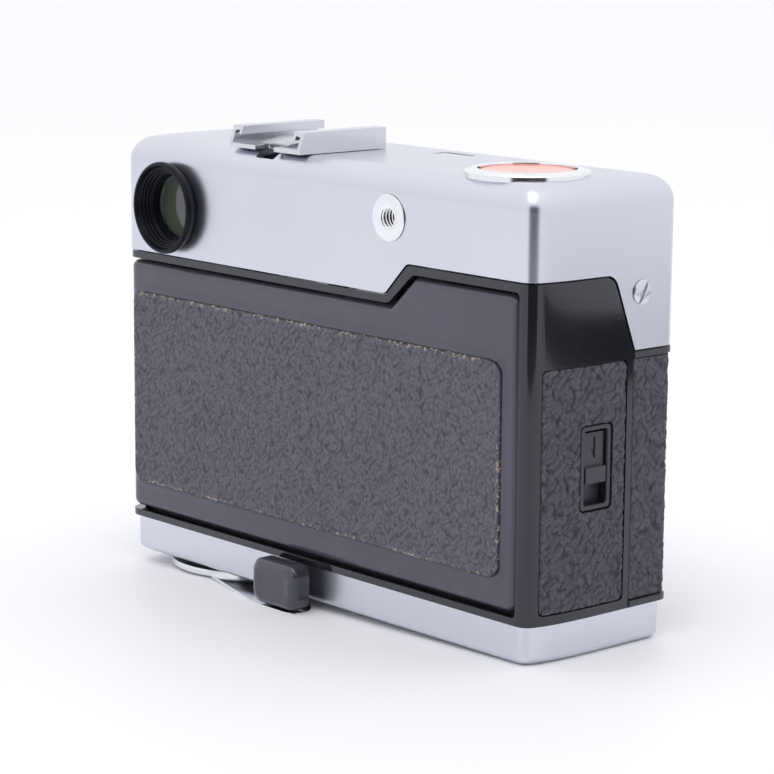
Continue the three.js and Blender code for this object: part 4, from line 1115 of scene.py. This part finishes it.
def makeShoe():
    x, wide, high, wall = shoe["x"], shoe["width"] / 2, shoe["height"], shoe["wall"]
    back, front = shoe["back"], shoe["back"] - shoe["length"]
    low = coverTop + 0.1
    lip, lipZ, floor = shoe["lip"], coverTop + high - shoe["lipThick"], low + shoe["floor"]
    top = coverTop + high
    # the rails are folded from sheet: outer wall, flat crown and a lip turned down inside
    right = [
        (0, low), (wide, low), (wide, top), (wide - lip, top), (wide - lip, lipZ),
        (wide - lip + 0.75, lipZ)
    ]
    right += [(wide - lip + 0.75, top - 0.75), (wide - wall, top - 0.95), (wide - wall, floor), (0, floor)]
    section = [(x + u, v) for u, v in right[1:-1]]
    section += [(x - u, v) for u, v in right[1:-1][::-1]]
    body = prism("accessoryShoe", section, front - 1, back + 1, "Y")
    ends = [
        (back, low - 1), (back, low + 0.9), (back - shoe["rake"], top + 1), (front, top + 1),
        (front, low - 1)
    ]
    carve(body, prism("ends", ends, x - wide - 1, x + wide + 1, "X"), "INTERSECT")
    gapShape = roundedRect(x - shoe["gap"] / 2, x + shoe["gap"] / 2, back - 3.2, back + 2, 0.35)
    cuts = [prism("tongueGap", gapShape, low - 1, top)]
    # a score line follows the crown of each rail
    for sideways in (-1, 1):
        lineX = x + sideways * (wide - 1.0)
        inner, outer = lineX - 0.07, lineX + 0.07
        score = [(inner, top - 0.1), (outer, top - 0.1), (outer, top + 1), (inner, top + 1)]
        cuts.append(prism("score", score, front - 1, back + 1, "Y"))
    carve(body, cuts)
    softEdges(body, 0.15, 50, 3)
    finishPiece(body, "body", shoeMetal, "accessory_shoe")

    start, end = back - 2.5, front + 1.5
    middle, halfLength = (start + end) / 2, (start - end) / 2
    share = np.linspace(-1, 1, 40)
    width = 5.3 - 1.3 * share**2
    height = floor + 0.12 + 0.75 * (1 - share * share)
    across = np.linspace(-1, 1, 9)
    u = x + width[:, None] * across[None, :]
    v = middle + share[:, None] * halfLength + 0 * u
    w = height[:, None] + 0.12 * (1 - across[None, :] ** 2)
    upper = np.stack([u, v, w + 0.28], -1).reshape(-1, 3)
    lower = np.stack([u, v, w], -1).reshape(-1, 3)
    m, n = u.shape
    index = np.arange(m * n).reshape(m, n)
    rim = np.concatenate([index[:, 0], index[-1, 1:], index[-2::-1, -1], index[0, -2:0:-1]])
    faces = gridFaces(m, n) + [[a + m * n for a in face[::-1]] for face in gridFaces(m, n)]
    faces += [[int(a), int(a + m * n), int(b + m * n), int(b)] for a, b in zip(rim, np.roll(rim, -1))]
    newObject("shoeSpring", np.concatenate([upper, lower]), faces, **standIn("shoe_spring", "body", steel))


def makeSideScrews():
    y, z, r = screw["y"], screw["z"], screw["radius"]
    for name, sign in (("side_screw_left", 1), ("side_screw_right", -1)):
        face = halfWidth + 0.1
        dome = [
            (0, 0.5), (r * 0.4, 0.47), (r * 0.75, 0.38), (r * 0.93, 0.26), (r, 0.12), (r, 0.0),
            (1.0, 0.0), (1.0, -2.0), (0, -2.0)
        ]
        profile = [(radius, sign * (face + height)) for radius, height in dome]
        head = turned(name.replace("_", ""), profile, (0, y, z), "X", 64, False)
        lean = math.radians(28 * sign)
        along, over = np.array([math.sin(lean), math.cos(lean)]), np.array(
            [math.cos(lean), -math.sin(lean)]
        )
        slot = [(y, z) + a * along * 3 + b * over * 0.3 for a, b in ((1, 1), (-1, 1), (-1, -1), (1, -1))]
        ends = sorted((sign * (face + 0.12), sign * (face + 1)))
        carve(head, prism("slot", slot, *ends, "X"))
        softEdges(head, 0.05, 50, 2)
        finishPiece(head, "body", shoeMetal, name)


makeEyepiece()
makeBush()
makeRelease()
makeCounter()
makeShoe()
makeSideScrews()
print("top fittings made")


lever = dict(radius=16.5, thickness=1.4, drop=1.8)
tab = dict(left=11.6, right=-0.9, top=7.6, low=-0.9, back=5, front=1, corner=2.3, edge=1.25)


def makeLever():
    low = -lever["drop"]
    high = low + lever["thickness"]
    r, centre = lever["radius"], (hub["x"], hub["y"], 0)
    profile = [
        (0, low + 0.12), (r * 0.55, low + 0.12), (r * 0.57, low), (r - 0.7, low), (r - 0.25, low + 0.12),
        (r, low + 0.45)
    ]
    profile += [(r, high - 0.1), (r - 0.1, high), (0, high)]
    turned("leverDisc", profile, centre, "Z", 192, False, **standIn("advance_lever", "lever", bright))
    shaft = hub["shaft"]
    turned(
        "leverShaft", [(0, high), (shaft, high), (shaft, 6.5), (shaft - 0.3, 6.8), (0, 6.8)], centre, "Z",
        64, False, body="lever", material=steel, slot="bright_chrome"
    )
    middle = (tab["left"] + tab["right"]) / 2
    corners = [
        (hub["x"] - 4, hub["y"] + r - 1.5), (tab["left"] - 0.6, tab["back"] - 0.4),
        (tab["right"] + 1.2, tab["back"] - 0.4),
        (tab["right"] + 0.6, tab["front"] - 1), (middle, -4), (hub["x"] - r + 2, hub["y"]),
    ]
    arm = prism("leverArm", rounded(corners, 2.2), low + 0.03, low + 0.63)
    softEdges(arm, 0.15, 50, 2)
    finishPiece(arm, "lever", bright, ())


def makeTab():
    # a pillow with a broad soft edge and a slightly hollowed back face
    def shape(inset):
        return roundedRect(
            tab["right"] + inset, tab["left"] - inset, tab["low"] + inset, tab["top"] - inset,
            max(tab["corner"] - inset * 0.6, 0.5), 10
        )

    e = tab["edge"]
    turn = np.linspace(0, math.pi / 2, 8)
    levels = [(tab["front"] + 0.4 * (1 - math.sin(t)), 0.4 * (1 - math.cos(t))) for t in turn[::-1]]
    levels += [(tab["back"] - e * (1 - math.sin(t)), 1.25 * e * (1 - math.cos(t))) for t in turn]
    levels += [
        (tab["back"] - 0.05, 1.25 * e + 0.5), (tab["back"] - 0.12, 1.25 * e + 1.2),
        (tab["back"] - 0.16, 1.25 * e + 2.0)
    ]
    stacked("thumbTab", shape, levels, "Y", **standIn("thumb_tab", "lever", tabBlack))


def makeBaseFittings():
    y = fittings["y"]
    r = fittings["tripod"]
    profile = [(r, 0.1), (r - 0.25, 0), (3.6, 0), (3.3, 0.25)]
    for turn in range(6):
        z = 0.5 + turn * 0.95
        profile += [(3.45, z), (3.0, z + 0.47)]
    profile += [(3.2, 6.2), (r, 6.2)]
    turned(
        "tripodBush", profile, (fittings["tripodX"], y, 0), "Z", 96,
        **standIn("tripod_bush", "body", brass)
    )
    r = fittings["battery"]
    lid = turned(
        "batteryLid",
        [(0, 0.3), (r - 0.9, 0.3), (r - 0.7, 0.2), (r - 0.2, 0.2), (r, 0.4), (r, 2.4), (0, 2.4)],
        (fittings["batteryX"], y, 0), "Z", 96, False
    )
    coin = roundedRect(fittings["batteryX"] - 5, fittings["batteryX"] + 5, y - 0.7, y + 0.7, 0.5)
    carve(lid, prism("coinSlot", coin, -1, 0.9))
    softEdges(lid, 0.08, 50, 2)
    finishPiece(lid, "body", chrome, "battery_cover")
    for index, (x, y) in enumerate(baseScrews):
        r = screw["radius"]
        profile = [
            (0, 0.2), (r * 0.7, 0.24), (r * 0.92, 0.36), (r, 0.6), (r, 1.4), (0.9, 1.5), (0.9, 6.4),
            (0, 6.4)
        ]
        head = turned(f"baseScrew{index + 1}", profile, (x, y, 0), "Z", 48, False)
        angle = 0.7 + 1.9 * index
        along, over = np.array([math.cos(angle), math.sin(angle)]), np.array(
            [-math.sin(angle), math.cos(angle)]
        )
        slot = [
            np.array([x, y]) + a * along * 3 + b * over * 0.3 for a,
            b in ((1, 1), (-1, 1), (-1, -1), (1, -1))
        ]
        carve(head, prism("slot", slot, -1, 0.75))
        softEdges(head, 0.05, 50, 2)
        finishPiece(head, "body", bright, f"base_screw_{index + 1}")


makeLever()
makeTab()
makeBaseFittings()
print("lever and base fittings made")


lens = dict(
    z=lensAxisZ, barrelBack=-34.9, barrelFront=-43.9, coreFront=-56, core=19.6, bore=17.6, barrel=23,
    neck=14.6
)
rings = dict(
    exposure=24.2, exposureLength=5, focus=23.4, focusLength=6.4, lever=5, leverAngle=40, flutes=60
)
panel = dict(half=54.5, low=61, high=78, thickness=1)


def flutedRing(name, profile, flutes, depth, low, high, **piece):
    # radius(a) = r - depth * |cos(flutes * a / 2)|^3 between two depths
    steps = flutes * 8
    angle = np.linspace(0, 2 * math.pi, steps, endpoint=False)
    profile = np.asarray(profile, float)
    r, h = profile[:, 0, None], profile[:, 1, None] + 0 * angle
    outside = (profile[:, 0] > profile[:, 0].max() - 0.5) & (profile[:, 1] > low) & (profile[:, 1] < high)
    r = r - np.where(outside[:, None], depth * np.abs(np.cos(flutes * angle / 2)) ** 3, 0)
    points = np.stack([r * np.cos(angle), h, r * np.sin(angle)], -1).reshape(-1, 3) + (0, 0, lens["z"])
    return newObject(name, points, gridFaces(len(profile), steps, True, True), **piece)


def edged(inner, outer, back, front, soft):
    # section of a ring with rounded outer corners, from its back to its front
    section = [(inner, back), (outer - soft, back), (outer, back - soft), (outer, front + soft)]
    return section + arc(
        outer - soft, front + soft, soft, 0, -90, 5
    ) + [(inner + 0.2, front), (inner, front + 0.2)]


def makeLens():
    centre = (0, 0, lens["z"])
    back = -bodyDepth + 0.8
    flange = [
        (14.9, back), (18.5, back), (18.5, back - 1.0), (18.35, back - 1.3), (17.9, back - 1.5),
        (14.9, back - 1.5)
    ]
    turned("lensFlange", flange, centre, "Y", 160, **standIn("lens_flange", "body", chrome))
    r, barrel, core, bore = 9.0, lens["barrel"], lens["core"], lens["bore"]
    b, f, tip = lens["barrelBack"], lens["barrelFront"], lens["coreFront"]
    floor = f + 2.9
    housing = [
        (r, b + 12.9), (lens["neck"], b + 12.9), (lens["neck"], b), (barrel - 0.5, b), (barrel, b - 0.5)
    ]
    for groove in (b - 2.2, b - 6.6):
        housing += [
            (barrel, groove + 0.35), (barrel - 0.4, groove + 0.15), (barrel - 0.4, groove - 0.15),
            (barrel, groove - 0.35)
        ]
    housing += [
        (barrel, f + 0.4), (barrel - 0.4, f), (core, f), (core, tip + 0.5), (core - 0.5, tip),
        (bore + 0.5, tip), (bore, tip + 0.4)
    ]
    for turn in range(3):
        housing += [(bore, tip + 0.9 + 0.6 * turn), (bore + 0.25, tip + 1.2 + 0.6 * turn)]
    housing += [(bore, tip + 3.4), (bore, floor), (6.5, floor), (6.5, floor + 3), (r, floor + 3)]
    turned("shutterHousing", housing, centre, "Y", 192, **standIn("shutter_housing", "body", ringBlack))

    back = f - 0.3
    front = back - rings["exposureLength"]
    flutedRing(
        "exposureRing", edged(core + 0.3, rings["exposure"], back, front, 0.5), 90, 0.32, front, back,
        **standIn("exposure_ring", "exposure", scaleRing)
    )
    back = front - 0.3
    front = back - rings["focusLength"]
    section = edged(core + 0.3, rings["focus"], back, front, 0.7)
    flutedRing(
        "focusRing", section, rings["flutes"], 0.45, front, back,
        **standIn("focus_ring", "focus", ringBlack)
    )
    # the finger lever stands out of the focusing ring, below and to one side
    outer = rings["focus"]
    end = -outer - rings["lever"]
    grip = [
        (-2.6, 1 - outer), (-2.6, end + 0.8), (-1.8, end), (1.8, end), (2.6, end + 0.8), (2.6, 1 - outer)
    ]
    turn = math.radians(-rings["leverAngle"])
    spun = [
        (
            u * math.cos(turn) - v * math.sin(turn), u * math.sin(turn) + v * math.cos(turn) + lens["z"]
        ) for u,
        v in rounded(grip, 0.5)
    ]
    finger = prism("focusLever", spun, front + 1.4, back - 1, "Y")
    softEdges(finger, 0.3, 50, 3)
    finishPiece(finger, "focus", satinBlack, ())

    cellBack, cellOuter = f + 2.9 - 0.3 - 0.8 - 2, bore - 0.4
    cellFront = cellBack - 9
    cell = [(9.3, cellBack), (cellOuter, cellBack), (cellOuter, cellFront), (cellOuter - 1.2, cellFront)]
    for step in range(7):
        radius = cellOuter - 1.6 - step * (cellOuter - 1.6 - 9.6) / 7
        cell += [(radius, cellFront + 0.35 + 0.42 * step), (radius - 0.35, cellFront + 0.35 + 0.42 * step)]
    cell += [(9.3, cellFront + 3.6)]
    turned("lensCell", cell, centre, "Y", 192, **standIn("lens_cell", "cell", deepBlack))
    ringFront = cellFront - 1.1
    retaining = [
        (cellOuter - 2.4, cellFront - 0.3), (cellOuter, cellFront - 0.3), (cellOuter, ringFront + 0.2),
        (cellOuter - 0.3, ringFront)
    ]
    retaining += [
        (cellOuter - 1.0, ringFront), (cellOuter - 1.1, ringFront + 0.15),
        (cellOuter - 1.3, ringFront + 0.15), (cellOuter - 1.4, ringFront)
    ]
    retaining += [(cellOuter - 2.2, ringFront), (cellOuter - 2.4, ringFront + 0.2)]
    turned(
        "retainingRing", retaining, centre, "Y", 192, **standIn("lens_retaining_ring", "cell", ringBlack)
    )
    for name, body, radius, low, high, crown in (
        ("front_lens_glass", "cell", 9, cellBack - 4.6, cellBack - 1.5, 0.9),
        ("rear_lens_glass", "body", 8.7, b + 4, b + 7, 1.0),
    ):
        share = np.linspace(0, 1, 16)
        face = [(radius * s, low - crown * (1 - s * s)) for s in share]
        face += [(radius * s, high + crown * (1 - s * s)) for s in share[::-1]]
        turned(
            name.replace("_", ""), face, centre, "Y", 128, False, body=body, material=lensGlass,
            replaces=name, slot="glass"
        )


def makePanel():
    y = -bodyDepth - 0.3
    shape = roundedRect(-panel["half"], panel["half"], panel["low"], panel["high"], 1.5)
    front = prism("windowPanel", shape, y - panel["thickness"], y, "Y")
    for window in windows:
        carve(front, prism("opening", windowRect(window, 0.3, 0.7), y - 3, y + 3, "Y"))
    softEdges(front, 0.18, 50, 3)
    finishPiece(front, "body", panelGloss, "front_window_panel")
    names = ("viewfinder_window", "frameline_window", "rangefinder_window")
    for name, window in zip(names, windows):
        pane = windowRect(window, 0, 0.5)
        pane = prism(name.replace("_", ""), pane, -bodyDepth - 1, -bodyDepth - 0.1, "Y")
        softEdges(pane, 0.12, 50, 2)
        finishPiece(pane, "body", glass, name)


makeLens()
makePanel()
print("front made")
